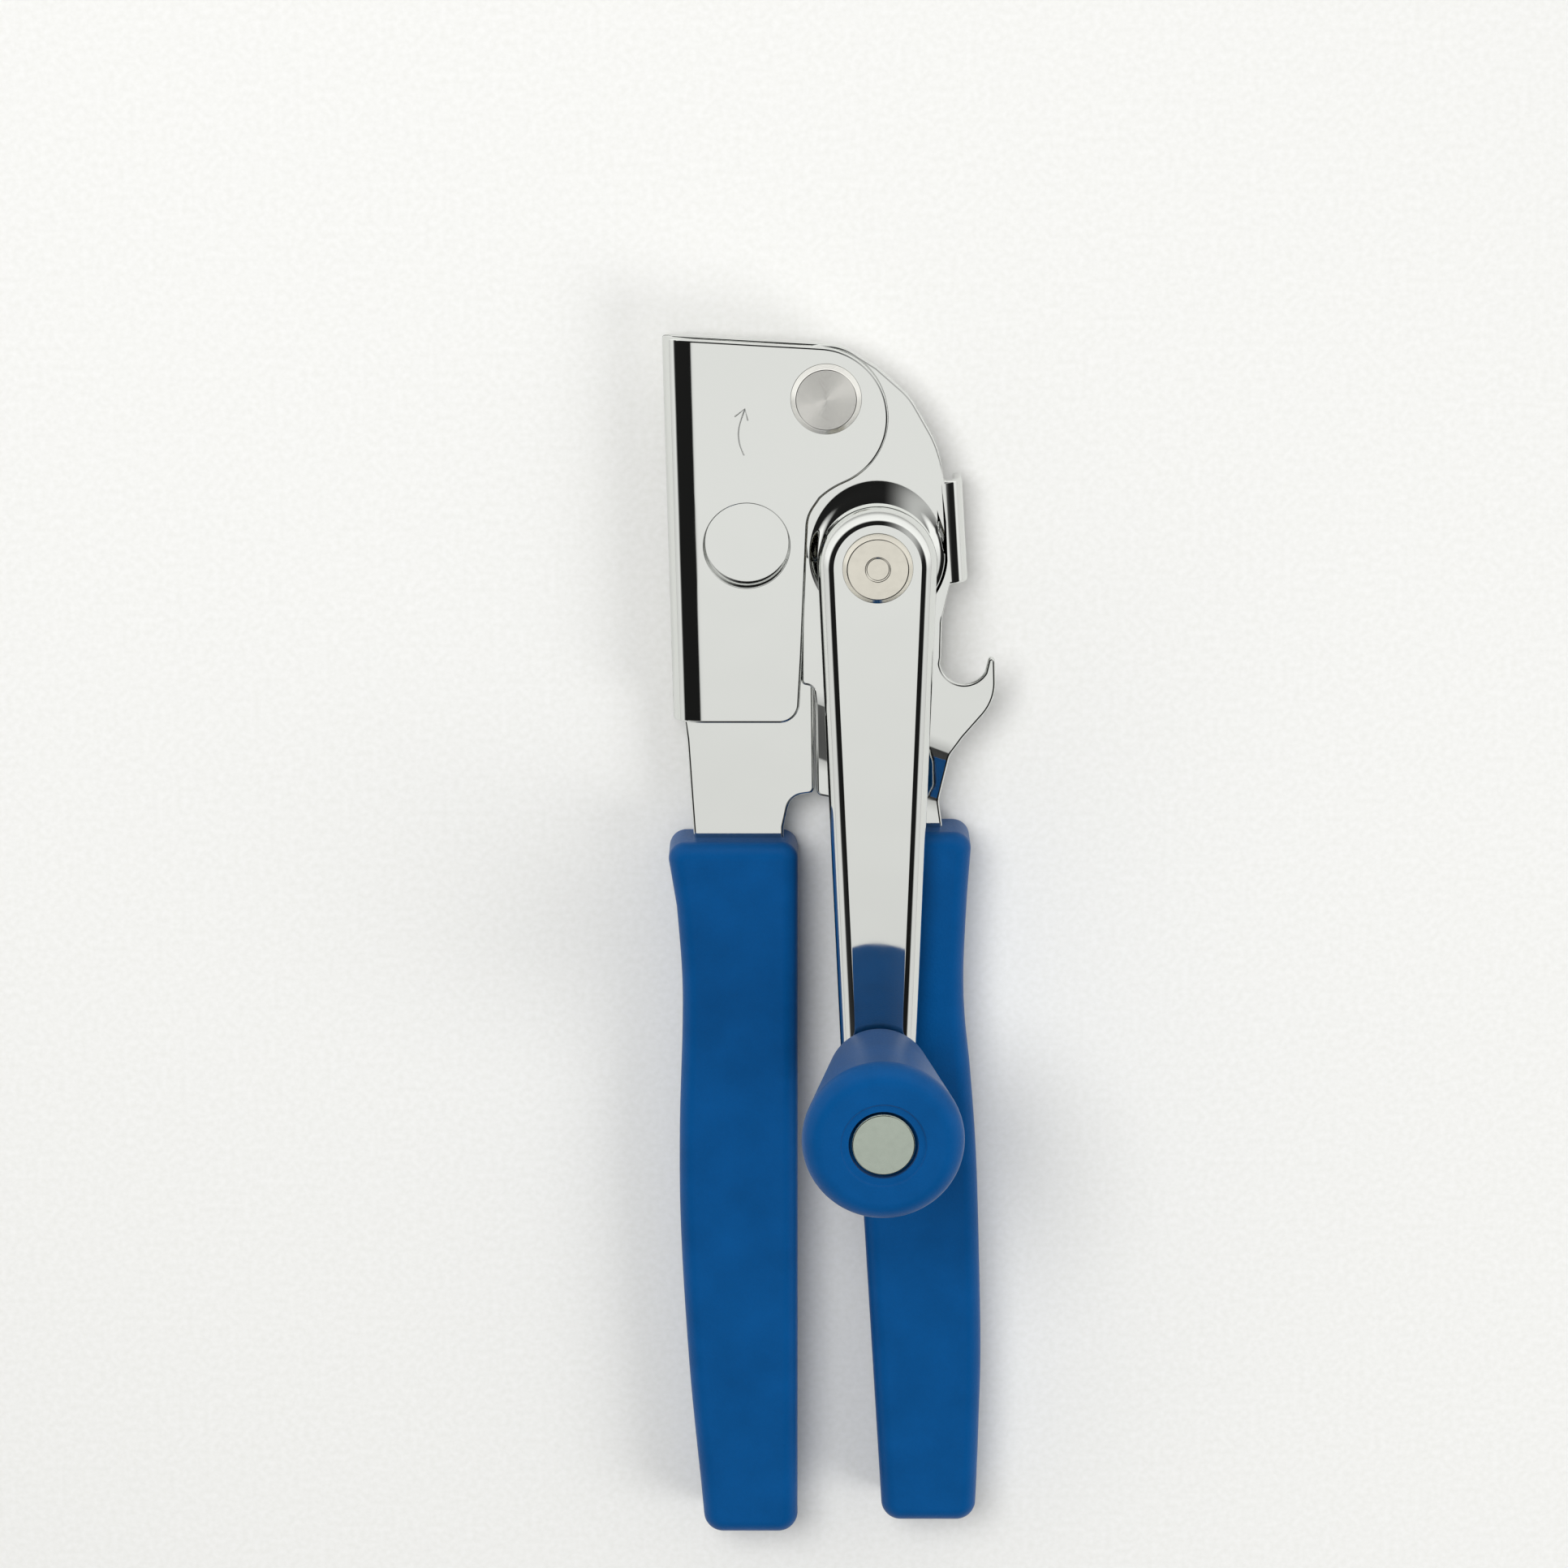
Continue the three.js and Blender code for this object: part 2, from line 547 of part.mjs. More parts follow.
function squareOutline(side) {
  const h = side / 2;
  return [[-h, -h], [h, -h], [h, h], [-h, h]].map(([x, y]) => [SHAFT.x + x, SHAFT.y + y]);
}

function squareHole() {
  return extrude(squareOutline(SQUARE + 2 * FIT), FEED_BACK - 4, GEAR_FACE + MARGIN);
}

function driveGear() {
  return extrude(gearOutline(SHAFT, meshLine), GEAR_BACK, GEAR_FACE).subtract(squareHole());
}

function cutterGear() {
  return extrude(gearOutline(CUTTER, meshLine + 180 + 180 / TEETH), GEAR_BACK, GEAR_FACE)
    .subtract(disc(CUTTER, STUD_R + FIT, GEAR_BACK - MARGIN, GEAR_FACE + MARGIN, 24));
}

function cutterWheel() {
  return turned(CUTTER, [
    [STUD_R + FIT, CUTTER_BACK],
    [CUTTER_R - 0.1, CUTTER_BACK],
    [CUTTER_R, CUTTER_BACK + 0.15],
    [CUTTER_R - CUTTER_BEVEL, CUTTER_FACE],
    [STUD_R + FIT, CUTTER_FACE],
  ], 60);
}

function feedWheel() {
  const points = Array.from({ length: 2 * FEED_SERRATIONS }, (_, i) => {
    const r = i % 2 ? FEED_R - FEED_BITE : FEED_R;
    const angle = (Math.PI * i) / FEED_SERRATIONS;
    return [SHAFT.x + r * Math.cos(angle), SHAFT.y + r * Math.sin(angle)];
  });
  return extrude(points, FEED_BACK, FEED_FACE).subtract(squareHole());
}

function feedSpacer() {
  return disc(SHAFT, 5.0, FEED_FACE + 0.5 * RUN_GAP, GEAR_BACK - 0.5 * RUN_GAP, 24).subtract(squareHole());
}

function feedRetainer() {
  return extrude(circle(SHAFT, 5.2, 6), RETAINER_BACK, RETAINER_BACK + RETAINER).subtract(squareHole());
}

function cutterStud() {
  const head = CUTTER_BACK - 0.5 * RUN_GAP;
  return turned(CUTTER, [
    [0, head - 1.0],
    [STUD_HEAD_R - 0.6, head - 1.0],
    [STUD_HEAD_R, head - 0.4],
    [STUD_HEAD_R, head],
    [STUD_R, head],
    [STUD_R, -RECESS_DEPTH - SHEET - 0.02],
    [0, -RECESS_DEPTH - SHEET - 0.02],
  ], 24);
}

function cutterSpacer() {
  const gap = 0.25 * RUN_GAP;
  return ring(CUTTER, STUD_R + FIT, WASHER_R, GEAR_FACE + gap, REAR_BACK - gap, 24);
}

// ---- crank ----
function crankShaft() {
  const head = CRANK_FACE + 0.02;
  const chamfer = 0.8;
  const tailTop = GEAR_FACE + 0.5 * RUN_GAP;
  const round = turned(SHAFT, [
    [0, tailTop],
    [SHAFT_R, tailTop],
    [SHAFT_R, COLLAR_FOOT],
    [COLLAR_R, COLLAR_FOOT],
    [COLLAR_R, CRANK_BACK - 0.02],
    [SHAFT_NECK_R, CRANK_BACK - 0.02],
    [SHAFT_NECK_R, head],
    [SHAFT_HEAD_R, head],
    [SHAFT_HEAD_R, head + 0.4],
    [SHAFT_HEAD_R - chamfer, head + HEAD_HEIGHT],
    [2.1, head + HEAD_HEIGHT],
    [1.9, head + HEAD_HEIGHT - 0.2],
    [0, head + HEAD_HEIGHT - 0.2],
  ]);
  return round.add(extrude(squareOutline(SQUARE), LOWEST, tailTop + MARGIN));
}

function shaftBushing() {
  const bore = SHAFT_R + FIT;
  const flange = BOSS_FACE + 0.02;
  return turned(SHAFT, [
    [bore, REAR_BACK],
    [SHAFT_R + BUSHING_WALL, REAR_BACK],
    [SHAFT_R + BUSHING_WALL, flange],
    [BUSHING_FLANGE_R, flange],
    [BUSHING_FLANGE_R, flange + 0.6],
    [bore, flange + 0.6],
  ], 24);
}

function springWasher() {
  const foot = BOSS_FACE + 0.75;
  const crown = COLLAR_FOOT - 0.5 * RUN_GAP;
  return turned(SHAFT, [
    [SHAFT_R + FIT, crown - SPRING_SHEET],
    [SPRING_R, foot],
    [SPRING_R, foot + SPRING_SHEET],
    [SHAFT_R + FIT, crown],
  ], 24);
}

function crankArm() {
  const low = CRANK_FACE - CRANK_DEPTH;
  const deep = low - 2 * CRANK_EDGE_R; // both prisms are made deeper than the pan, then cut level
  const pan = belt(SHAFT, CRANK_HUB_R, KNOB, CRANK_TIP_R);
  const well = belt(SHAFT, CRANK_HUB_R - CRANK_SHEET, KNOB, CRANK_TIP_R - CRANK_SHEET);
  const outer = extrude(pan, deep, CRANK_FACE, CRANK_EDGE_R);
  const inside = extrude(well, deep - MARGIN, CRANK_BACK, CRANK_EDGE_R - CRANK_SHEET);
  const reach = OVERALL_LENGTH;
  const square = [[-reach, -reach], [reach, -reach], [reach, reach], [-reach, reach]];
  const below = extrude(square, deep - 2 * MARGIN, low);
  return outer
    .subtract(below)
    .subtract(inside)
    .subtract(disc(SHAFT, SHAFT_NECK_R + FIT, CRANK_BACK - MARGIN, CRANK_FACE + MARGIN, 24))
    .subtract(disc(KNOB, PIN_R + FIT, CRANK_BACK - MARGIN, CRANK_FACE + MARGIN, 24));
}

function knobPin() {
  const top = KNOB_TOP - PIN_SUNK;
  return turned(KNOB, [
    [0, CRANK_BACK - PIN_TAIL],
    [PIN_TAIL_R - 0.5, CRANK_BACK - PIN_TAIL],
    [PIN_TAIL_R, CRANK_BACK - PIN_TAIL + 0.5],
    [PIN_TAIL_R, CRANK_BACK - 0.02],
    [PIN_R, CRANK_BACK - 0.02],
    [PIN_R, top - PIN_HEAD],
    [PIN_HEAD_R, top - PIN_HEAD],
    [PIN_HEAD_R, top - 0.3],
    [PIN_HEAD_R - 0.3, top],
    [0, top],
  ], 32);
}

function knobWasher() {
  const foot = CRANK_FACE + 0.5 * RUN_GAP;
  return ring(KNOB, PIN_R + FIT, WASHER_R, foot, foot + WASHER, 24);
}

// Quarter circle in the [radius, z] plane.
function corner(r, z, size, from, to) {
  return arc({ x: r, y: z }, size, from, to);
}

function knob() {
  const bore = PIN_R + FIT;
  const pocket = KNOB_TOP - PIN_SUNK - PIN_HEAD - 0.5 * RUN_GAP;
  const flare = THREE.MathUtils.radToDeg(Math.atan2(KNOB_LARGE_R - KNOB_SMALL_R, KNOB_LENGTH));
  return turned(KNOB, [
    [bore, KNOB_FOOT],
    ...corner(KNOB_SMALL_R - KNOB_FOOT_R, KNOB_FOOT + KNOB_FOOT_R, KNOB_FOOT_R, -90, -flare),
    ...corner(KNOB_LARGE_R - KNOB_EDGE_R, KNOB_TOP - KNOB_EDGE_R, KNOB_EDGE_R, -flare, 90),
    [KNOB_DISH_R + 0.3, KNOB_TOP],
    [KNOB_DISH_R, KNOB_TOP - KNOB_DISH],
    [KNOB_POCKET_R, KNOB_TOP - KNOB_DISH],
    [KNOB_POCKET_R, pocket],
    [bore, pocket],
  ]);
}

// ---- finishes ----
const finishes = {
  chrome: { color: 0xd8dad6, metalness: 1.0, roughness: 0.12 },
  satin_steel: { color: 0xb9b8b2, metalness: 1.0, roughness: 0.38 },
  nickel: { color: 0xd6cfc0, metalness: 1.0, roughness: 0.3 },
  hard_steel: { color: 0x8d8f92, metalness: 1.0, roughness: 0.42 },
  zinc: { color: 0xc7c5bb, metalness: 1.0, roughness: 0.35 },
  brass: { color: 0xb5954f, metalness: 1.0, roughness: 0.4 },
  blue_plastic: { color: 0x0d4d8a, metalness: 0.0, roughness: 0.55 },
};

const pieces = [
  ["left_arm", leftArm, "chrome"],
  ["left_grip", leftGrip, "blue_plastic"],
  ["pivot_rivet", pivotRivet, "satin_steel"],
  ["pivot_spacer", pivotSpacer, "zinc"],
  ["pivot_washer", pivotWasher, "zinc"],
  ["cutter_stud", cutterStud, "satin_steel"],
  ["cutter_spacer", cutterSpacer, "zinc"],
  ["cutter_gear", cutterGear, "hard_steel"],
  ["cutter_wheel", cutterWheel, "satin_steel"],
  ["right_arm", rightArm, "chrome"],
  ["right_grip", rightGrip, "blue_plastic"],
  ["shaft_bushing", shaftBushing, "brass"],
  ["crank_shaft", crankShaft, "nickel"],
  ["spring_washer", springWasher, "hard_steel"],
  ["drive_gear", driveGear, "hard_steel"],
  ["feed_spacer", feedSpacer, "zinc"],
  ["feed_wheel", feedWheel, "hard_steel"],
  ["feed_retainer", feedRetainer, "zinc"],
  ["crank_arm", crankArm, "chrome"],
  ["knob_washer", knobWasher, "zinc"],
  ["knob_pin", knobPin, "zinc"],
  ["knob", knob, "blue_plastic"],
];

const opener = new THREE.Group();
for (const [name, make, finish] of pieces) {
  const mesh = new THREE.Mesh(geometryOf(make()), new THREE.MeshStandardMaterial(finishes[finish]));
  mesh.name = name;
  opener.add(mesh);
}

// The origin goes to the middle of the footprint, on the surface that the opener lies on.
const box = new THREE.Box3().setFromObject(opener);
opener.position.set(-(box.min.x + box.max.x) / 2, -(box.min.y + box.max.y) / 2, -box.min.z);

export default opener;
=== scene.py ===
# %% [markdown]
# A hand-cranked can opener lies on its back. Two pressed steel arms share one rivet, a crank with a
# turning knob drives a feed wheel behind them, and blue moulded grips cover the ends of the arms.
# The working model comes first, because every finished piece is fitted to it: its nodes say where
# each piece is, and its bodies say what turns with what.

import math

import bmesh
import bpy
from mathutils import Matrix, Vector


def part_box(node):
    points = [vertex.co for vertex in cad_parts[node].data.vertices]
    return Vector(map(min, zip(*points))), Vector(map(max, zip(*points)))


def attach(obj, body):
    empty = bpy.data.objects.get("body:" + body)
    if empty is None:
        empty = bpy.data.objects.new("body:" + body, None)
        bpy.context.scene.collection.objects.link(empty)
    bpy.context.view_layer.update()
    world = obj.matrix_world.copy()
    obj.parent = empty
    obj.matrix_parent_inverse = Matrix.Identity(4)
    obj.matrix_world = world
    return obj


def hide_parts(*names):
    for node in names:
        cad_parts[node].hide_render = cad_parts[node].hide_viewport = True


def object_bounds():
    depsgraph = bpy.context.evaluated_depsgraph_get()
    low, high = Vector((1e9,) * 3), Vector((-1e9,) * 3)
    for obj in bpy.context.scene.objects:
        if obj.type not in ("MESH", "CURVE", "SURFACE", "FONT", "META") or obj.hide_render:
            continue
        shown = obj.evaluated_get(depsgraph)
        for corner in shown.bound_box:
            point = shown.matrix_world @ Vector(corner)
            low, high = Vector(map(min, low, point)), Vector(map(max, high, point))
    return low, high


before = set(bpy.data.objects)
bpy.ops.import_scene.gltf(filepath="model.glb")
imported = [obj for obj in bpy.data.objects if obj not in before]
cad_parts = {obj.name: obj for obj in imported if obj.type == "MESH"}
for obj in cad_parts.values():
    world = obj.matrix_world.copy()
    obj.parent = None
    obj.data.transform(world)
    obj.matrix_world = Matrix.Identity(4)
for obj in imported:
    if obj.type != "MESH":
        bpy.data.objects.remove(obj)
working_low, working_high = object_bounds()
print("working model, mm:", [round(1000 * v, 2) for v in working_high - working_low])

# %% [markdown]
# A maker thinks of this opener in millimetres from its rivet, with the front of the left arm as
# zero height. The shapes below are made in that way and moved into the shared frame at the end.
# The rivet and the left arm of the working model say where that point lies.

# %% Where the rivet stands
rivet_low, rivet_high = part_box("pivot_rivet")
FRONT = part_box("left_arm")[1].z
RIVET = (rivet_low + rivet_high) / 2
INTO_FRAME = Matrix.Translation((RIVET.x, RIVET.y, FRONT)) @ Matrix.Scale(0.001, 4)


def middle(node):
    """Centre of a working piece, in millimetres from the rivet."""
    low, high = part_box(node)
    return (INTO_FRAME.inverted() @ ((low + high) / 2)).to_2d()


def level(node, side):
    """Height of the bottom (0) or top (1) of a working piece, in millimetres."""
    return 1000 * (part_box(node)[side].z - FRONT)


PIVOT = Vector((0.0, 0.0))
SHAFT = middle("crank_shaft")
CUTTER = middle("cutter_wheel")
KNOB = middle("knob")
print("shaft", SHAFT, "cutter", CUTTER, "knob", KNOB)

# %% [markdown]
# Each pressed or moulded piece starts as an outline. Real tooling has no sharp corners in plan, so
# an outline is written as a few corners, each with the radius that the toolmaker would cut. These
# helpers turn corners into arcs, wrap a belt round two circles, and run a smooth curve through points.

# %% Outlines
ARC_STEP = 4  # degrees between points on an arc


def arc(centre, radius, start, stop):
    count = max(2, math.ceil(abs(stop - start) / ARC_STEP))
    turns = [math.radians(start + (stop - start) * i / count) for i in range(count + 1)]
    return [(centre[0] + radius * math.cos(a), centre[1] + radius * math.sin(a)) for a in turns]


def rounded(corners):
    """Corners are (x, y) or (x, y, radius)."""
    points = []
    for i, (x, y, *radius) in enumerate(corners):
        if not radius:
            points.append((x, y))
            continue
        here = Vector((x, y))
        back = Vector(corners[i - 1][:2]) - here
        on = Vector(corners[(i + 1) % len(corners)][:2]) - here
        half = back.angle(on) / 2
        reach = min(radius[0] / math.tan(half), 0.49 * back.length, 0.49 * on.length)
        size = reach * math.tan(half)
        centre = here + (back.normalized() + on.normalized()).normalized() * size / math.sin(half)
        first, last = (here + side.normalized() * reach - centre for side in (back, on))
        start = math.degrees(math.atan2(first.y, first.x))
        turn = math.degrees(-first.angle_signed(last))
        points += arc(centre, size, start, start + turn)
    return points


def circle(centre, radius, sides=96):
    return [(centre[0] + radius * math.cos(2 * math.pi * i / sides),
             centre[1] + radius * math.sin(2 * math.pi * i / sides)) for i in range(sides)]


def belt(a, radius_a, b, radius_b):
    span = b - a
    along = math.degrees(math.atan2(span.y, span.x))
    lean = math.degrees(math.acos((radius_a - radius_b) / span.length))
    return [*arc(a, radius_a, along + lean, along + 360 - lean),
            *arc(b, radius_b, along - lean, along + lean)]


def flowing(points, pieces=10):
    """A smooth curve through the points."""
    ends = [points[0], *points, points[-1]]
    curve = []
    for a, b, c, d in zip(ends, ends[1:], ends[2:], ends[3:]):
        for i in range(pieces):
            t = i / pieces
            curve.append(tuple(
                q + 0.5 * t * (r - p + t * (2 * p - 5 * q + 4 * r - s + t * (3 * (q - r) + s - p)))
                for p, q, r, s in zip(a, b, c, d)))
    return curve + [points[-1]]


print("a rounded square has", len(rounded([(0, 0, 1), (9, 0, 1), (9, 9, 1), (0, 9, 1)])), "points")

# %% [markdown]
# Finishes are node trees, and their arithmetic reads best as arithmetic. The small class below wraps
# a socket, so that adding or multiplying it makes the Math node, and its `node` method makes any
# other kind of node: the type, then its settings, then what its sockets are given.

# %% Shader arithmetic


class Socket:
    def __init__(self, tree, socket=None):
        self.tree, self.socket = tree, socket

    def node(self, kind, settings=None, inputs=None, output=0):
        made = self.tree.nodes.new(kind)
        for name, value in (settings or {}).items():
            if name == "stops":
                ramp = made.color_ramp.elements
                while len(ramp) < len(value):
                    ramp.new(1.0)
                for element, (position, colour) in zip(ramp, value):
                    element.position, element.color = position, colour
            else:
                setattr(made, name, value)
        for name, value in (inputs or {}).items():
            if isinstance(value, Socket):
                self.tree.links.new(value.socket, made.inputs[name])
            else:
                made.inputs[name].default_value = value
        return None if output is None else Socket(self.tree, made.outputs[output])

    def math(self, operation, a, b=0.0):
        return self.node("ShaderNodeMath", {"operation": operation}, {0: a, 1: b})

    def __add__(self, other): return self.math("ADD", self, other)
    def __sub__(self, other): return self.math("SUBTRACT", self, other)
    def __rsub__(self, other): return self.math("SUBTRACT", other, self)
    def __mul__(self, other): return self.math("MULTIPLY", self, other)
    def __truediv__(self, other): return self.math("DIVIDE", self, other)
    def __pow__(self, other): return self.math("POWER", self, other)
    __radd__, __rmul__ = __add__, __mul__


def tone(*rgb):
    """A linear colour from the 0 to 255 values that a colour picker shows."""
    scaled = [v / 255 for v in rgb]
    return (*[v / 12.92 if v <= 0.04045 else ((v + 0.055) / 1.055) ** 2.4 for v in scaled], 1.0)


def start_finish(name):
    """A new material, its object coordinates in metres, and its tree ready for nodes."""
    made = bpy.data.materials.new(name)
    made.use_nodes = True
    made.node_tree.nodes.clear()
    place = Socket(made.node_tree).node("ShaderNodeTexCoord", output="Object")
    return made, place


def end_finish(made, place, inputs):
    """The metal or plastic shader, with everything its sockets are given."""
    shader = place.node("ShaderNodeBsdfPrincipled", {}, inputs)
    place.node("ShaderNodeOutputMaterial", {}, {"Surface": shader}, output=None)
    return made


print("mid grey is", [round(v, 3) for v in tone(128, 128, 128)])

# %% [markdown]
# Both arms and the crank are polished and plated steel. A perfect mirror looks like glass, so the
# plating gets what pressing and polishing leave: a very shallow waviness that bends reflections, a
# fine haze that comes and goes, and hairline wipe marks. All three are too shallow to model.

# %% Chrome plate


def chrome_plate():
    made, place = start_finish("polished_chrome")
    waves = place.node("ShaderNodeTexNoise", {}, {"Vector": place, "Scale": 70.0, "Detail": 1.0})
    haze = place.node("ShaderNodeTexNoise", {}, {"Vector": place, "Scale": 260.0, "Detail": 4.0})
    stretched = place.node("ShaderNodeMapping", {}, {
        "Vector": place, "Rotation": (0, 0, 0.5), "Scale": (2600.0, 130.0, 900.0)})
    wipes = place.node("ShaderNodeTexNoise", {}, {"Vector": stretched, "Scale": 1.0, "Detail": 2.0})
    height = waves + 0.012 * wipes
    bump = place.node("ShaderNodeBump", {}, {"Strength": 0.10, "Distance": 0.0006, "Height": height})
    return end_finish(made, place, {
        "Base Color": tone(222, 224, 221), "Metallic": 1.0,
        "Roughness": 0.025 + 0.07 * haze ** 2.0 + 0.02 * wipes, "Normal": bump})


CHROME = chrome_plate()
print(CHROME.name, len(CHROME.node_tree.nodes), "nodes")

# %% [markdown]
# The grips and the knob are moulded in blue plastic. The mould was spark-eroded, which leaves a fine
# even grain, so the plastic glints in tiny specks where light grazes it. The pigment is a little
# uneven too. Grain and pigment are both noise, at a quarter of a millimetre and at several millimetres.

# %% Blue plastic


def blue_plastic():
    made, place = start_finish("moulded_blue")
    grain = place.node("ShaderNodeTexNoise", {}, {"Vector": place, "Scale": 2600.0, "Detail": 3.0})
    cloud = place.node("ShaderNodeTexNoise", {}, {"Vector": place, "Scale": 120.0, "Detail": 3.0})
    pigment = place.node("ShaderNodeValToRGB", {"stops": [
        (0.3, tone(2, 69, 124)), (0.7, tone(4, 77, 137))]}, {"Fac": 0.75 * cloud + 0.25 * grain})
    bump = place.node("ShaderNodeBump", {}, {"Strength": 0.55, "Distance": 0.00008, "Height": grain})
    return end_finish(made, place, {
        "Base Color": pigment, "Roughness": 0.34 + 0.16 * grain, "Specular IOR Level": 0.12,
        "Sheen Weight": 0.06, "Sheen Roughness": 0.4, "Normal": bump})


PLASTIC = blue_plastic()
print(PLASTIC.name, len(PLASTIC.node_tree.nodes), "nodes")

# %% [markdown]
# The pivot rivet's head was faced in a lathe. The tool leaves rings so fine that they read as two
# bright fans of light. A sine of the distance from the rivet's axis, as a height, makes the rings,
# so each turned piece gets its own copy of the finish, centred on its own axis by a Mapping node.

# %% Lathe-turned metals


def turned_metal(name, axis, colour, roughness, pitch=0.00016, strength=0.35):
    made, place = start_finish(name)
    centre = INTO_FRAME @ axis.to_3d()
    centred = place.node("ShaderNodeMapping", {}, {
        "Vector": place, "Location": (-centre.x, -centre.y, 0.0), "Scale": (1.0, 1.0, 0.0)})
    reach = place.node("ShaderNodeVectorMath", {"operation": "LENGTH"}, {0: centred}, output="Value")
    rings = place.math("SINE", reach * (2 * math.pi / pitch))
    noise = place.node("ShaderNodeTexNoise", {}, {"Vector": place, "Scale": 900.0, "Detail": 4.0})
    bump = place.node("ShaderNodeBump", {}, {
        "Strength": strength, "Distance": 0.00003, "Height": rings + 0.8 * noise})
    return end_finish(made, place, {
        "Base Color": colour, "Metallic": 1.0, "Roughness": roughness + 0.12 * noise, "Normal": bump})


TURNED_RIVET = turned_metal("turned_rivet_steel", PIVOT, tone(238, 237, 232), 0.1, strength=0.16)
NICKEL = turned_metal("nickel_shaft", SHAFT, tone(226, 222, 210), 0.1, strength=0.05)
TURNED_PIN = turned_metal("zinc_knob_pin", KNOB, tone(186, 196, 184), 0.12, strength=0.05)
TURNED_CUTTER = turned_metal("ground_cutter_steel", CUTTER, tone(204, 205, 206), 0.2, strength=0.3)
print("turned finishes:", [m.name for m in (TURNED_RIVET, NICKEL, TURNED_PIN, TURNED_CUTTER)])

# %% [markdown]
# The gears and the feed wheel are hardened, which leaves them darker, and their stamped faces are
# slightly mottled and scratched. Washers are zinc plated and duller, and the bushing is brass. One
# function makes all of these rougher metals: mottled colour, scratches one way, and uneven gloss.

# %% Plain working metals


def worn_metal(name, light, dark, roughness):
    made, place = start_finish(name)
    mottle = place.node("ShaderNodeTexNoise", {}, {"Vector": place, "Scale": 420.0, "Detail": 5.0})
    along = place.node("ShaderNodeMapping", {}, {"Vector": place, "Rotation": (0, 0, 0.9),
                                                 "Scale": (5200.0, 260.0, 2600.0)})
    scratches = place.node("ShaderNodeTexNoise", {}, {"Vector": along, "Scale": 1.0, "Detail": 2.0})
    colour = place.node("ShaderNodeValToRGB", {"stops": [(0.32, dark), (0.68, light)]}, {"Fac": mottle})
    bump = place.node("ShaderNodeBump", {}, {
        "Strength": 0.25, "Distance": 0.00004, "Height": mottle + 0.5 * scratches})
    return end_finish(made, place, {
        "Base Color": colour, "Metallic": 1.0,
        "Roughness": roughness + 0.16 * mottle + 0.08 * scratches, "Normal": bump})


HARD_STEEL = worn_metal("hardened_steel", tone(168, 170, 172), tone(134, 136, 139), 0.24)
ZINC = worn_metal("zinc_plate", tone(204, 203, 196), tone(182, 182, 176), 0.26)
BRASS = worn_metal("brass_bushing", tone(198, 168, 100), tone(166, 136, 76), 0.24)
print("working metals:", [m.name for m in (HARD_STEEL, ZINC, BRASS)])

# %% [markdown]
# A pressed arm is one sheet of steel, so it is made as one surface: an outline filled with a face,
# then bent, with the sheet's thickness given at the end. The helpers below draw closed loops, fill
# them, and finish a piece. Solidify gives the thickness and Bevel rolls the sheared edges, so flat
# sheet and bends stay easy to shape. Weighted normals keep the flats flat beside a rolled edge. A
# piece is shaped and finished in millimetres, and moved into the frame as the last step.

# %% Making and finishing a piece
SHEET = 1.6  # thickness of the arms' steel
BORDER = 0.5  # strip left inside every outline, so that an edge can be rolled cleanly
ROLLED = 0.42  # radius of the arms' rolled edges
RIVET_HOLE = circle(PIVOT, 4.15, 48)


def loop(mesh, points, height=0.0):
    corners = [mesh.verts.new((x, y, height)) for x, y in points]
    return [mesh.edges.new(pair) for pair in zip(corners, corners[1:] + corners[:1])]


def fill(mesh, loops, border=BORDER):
    """Flat faces inside the first loop and outside the others, with a strip along every loop."""
    edges = [edge for one in loops for edge in one]
    filled = bmesh.ops.triangle_fill(mesh, use_beauty=True, edges=edges)["geom"]
    faces = [g for g in filled if isinstance(g, bmesh.types.BMFace)]
    for face in faces:
        if face.normal.z < 0:
            face.normal_flip()
    if border:
        bmesh.ops.inset_region(mesh, faces=faces, thickness=border,
                               use_boundary=True, use_even_offset=True)
    else:
        bmesh.ops.dissolve_faces(mesh, faces=faces)


def slice_across(mesh, square, places):
    """Cuts a sheet along straight lines, so that it can bend there."""
    for place in places:
        bmesh.ops.bisect_plane(mesh, geom=mesh.verts[:] + mesh.edges[:] + mesh.faces[:], dist=1e-4,
                               plane_co=square * place, plane_no=square)


def bend_edge(mesh, ends, centre, angle, steps):
    """Spins the straight edge between two points, and returns its last place."""
    top, low = (mesh.verts.new(end) for end in ends)
    geometry = [top, low, mesh.edges.new((top, low))]
    return bmesh.ops.spin(mesh, geom=geometry, cent=centre, axis=(low.co - top.co).normalized(),
                          angle=angle, steps=steps, use_merge=False)["geom_last"]


def spin_profile(mesh, centre, profile, steps=96):
    """Turns [radius, height] points about an upright axis."""
    corners = [mesh.verts.new((centre[0] + r, centre[1], z)) for r, z in profile]
    edges = [mesh.edges.new(pair) for pair in zip(corners, corners[1:])]
    bmesh.ops.spin(mesh, geom=corners + edges, cent=(*centre, 0), axis=(0, 0, 1),
                   angle=2 * math.pi, steps=steps, use_merge=True, use_duplicate=False)


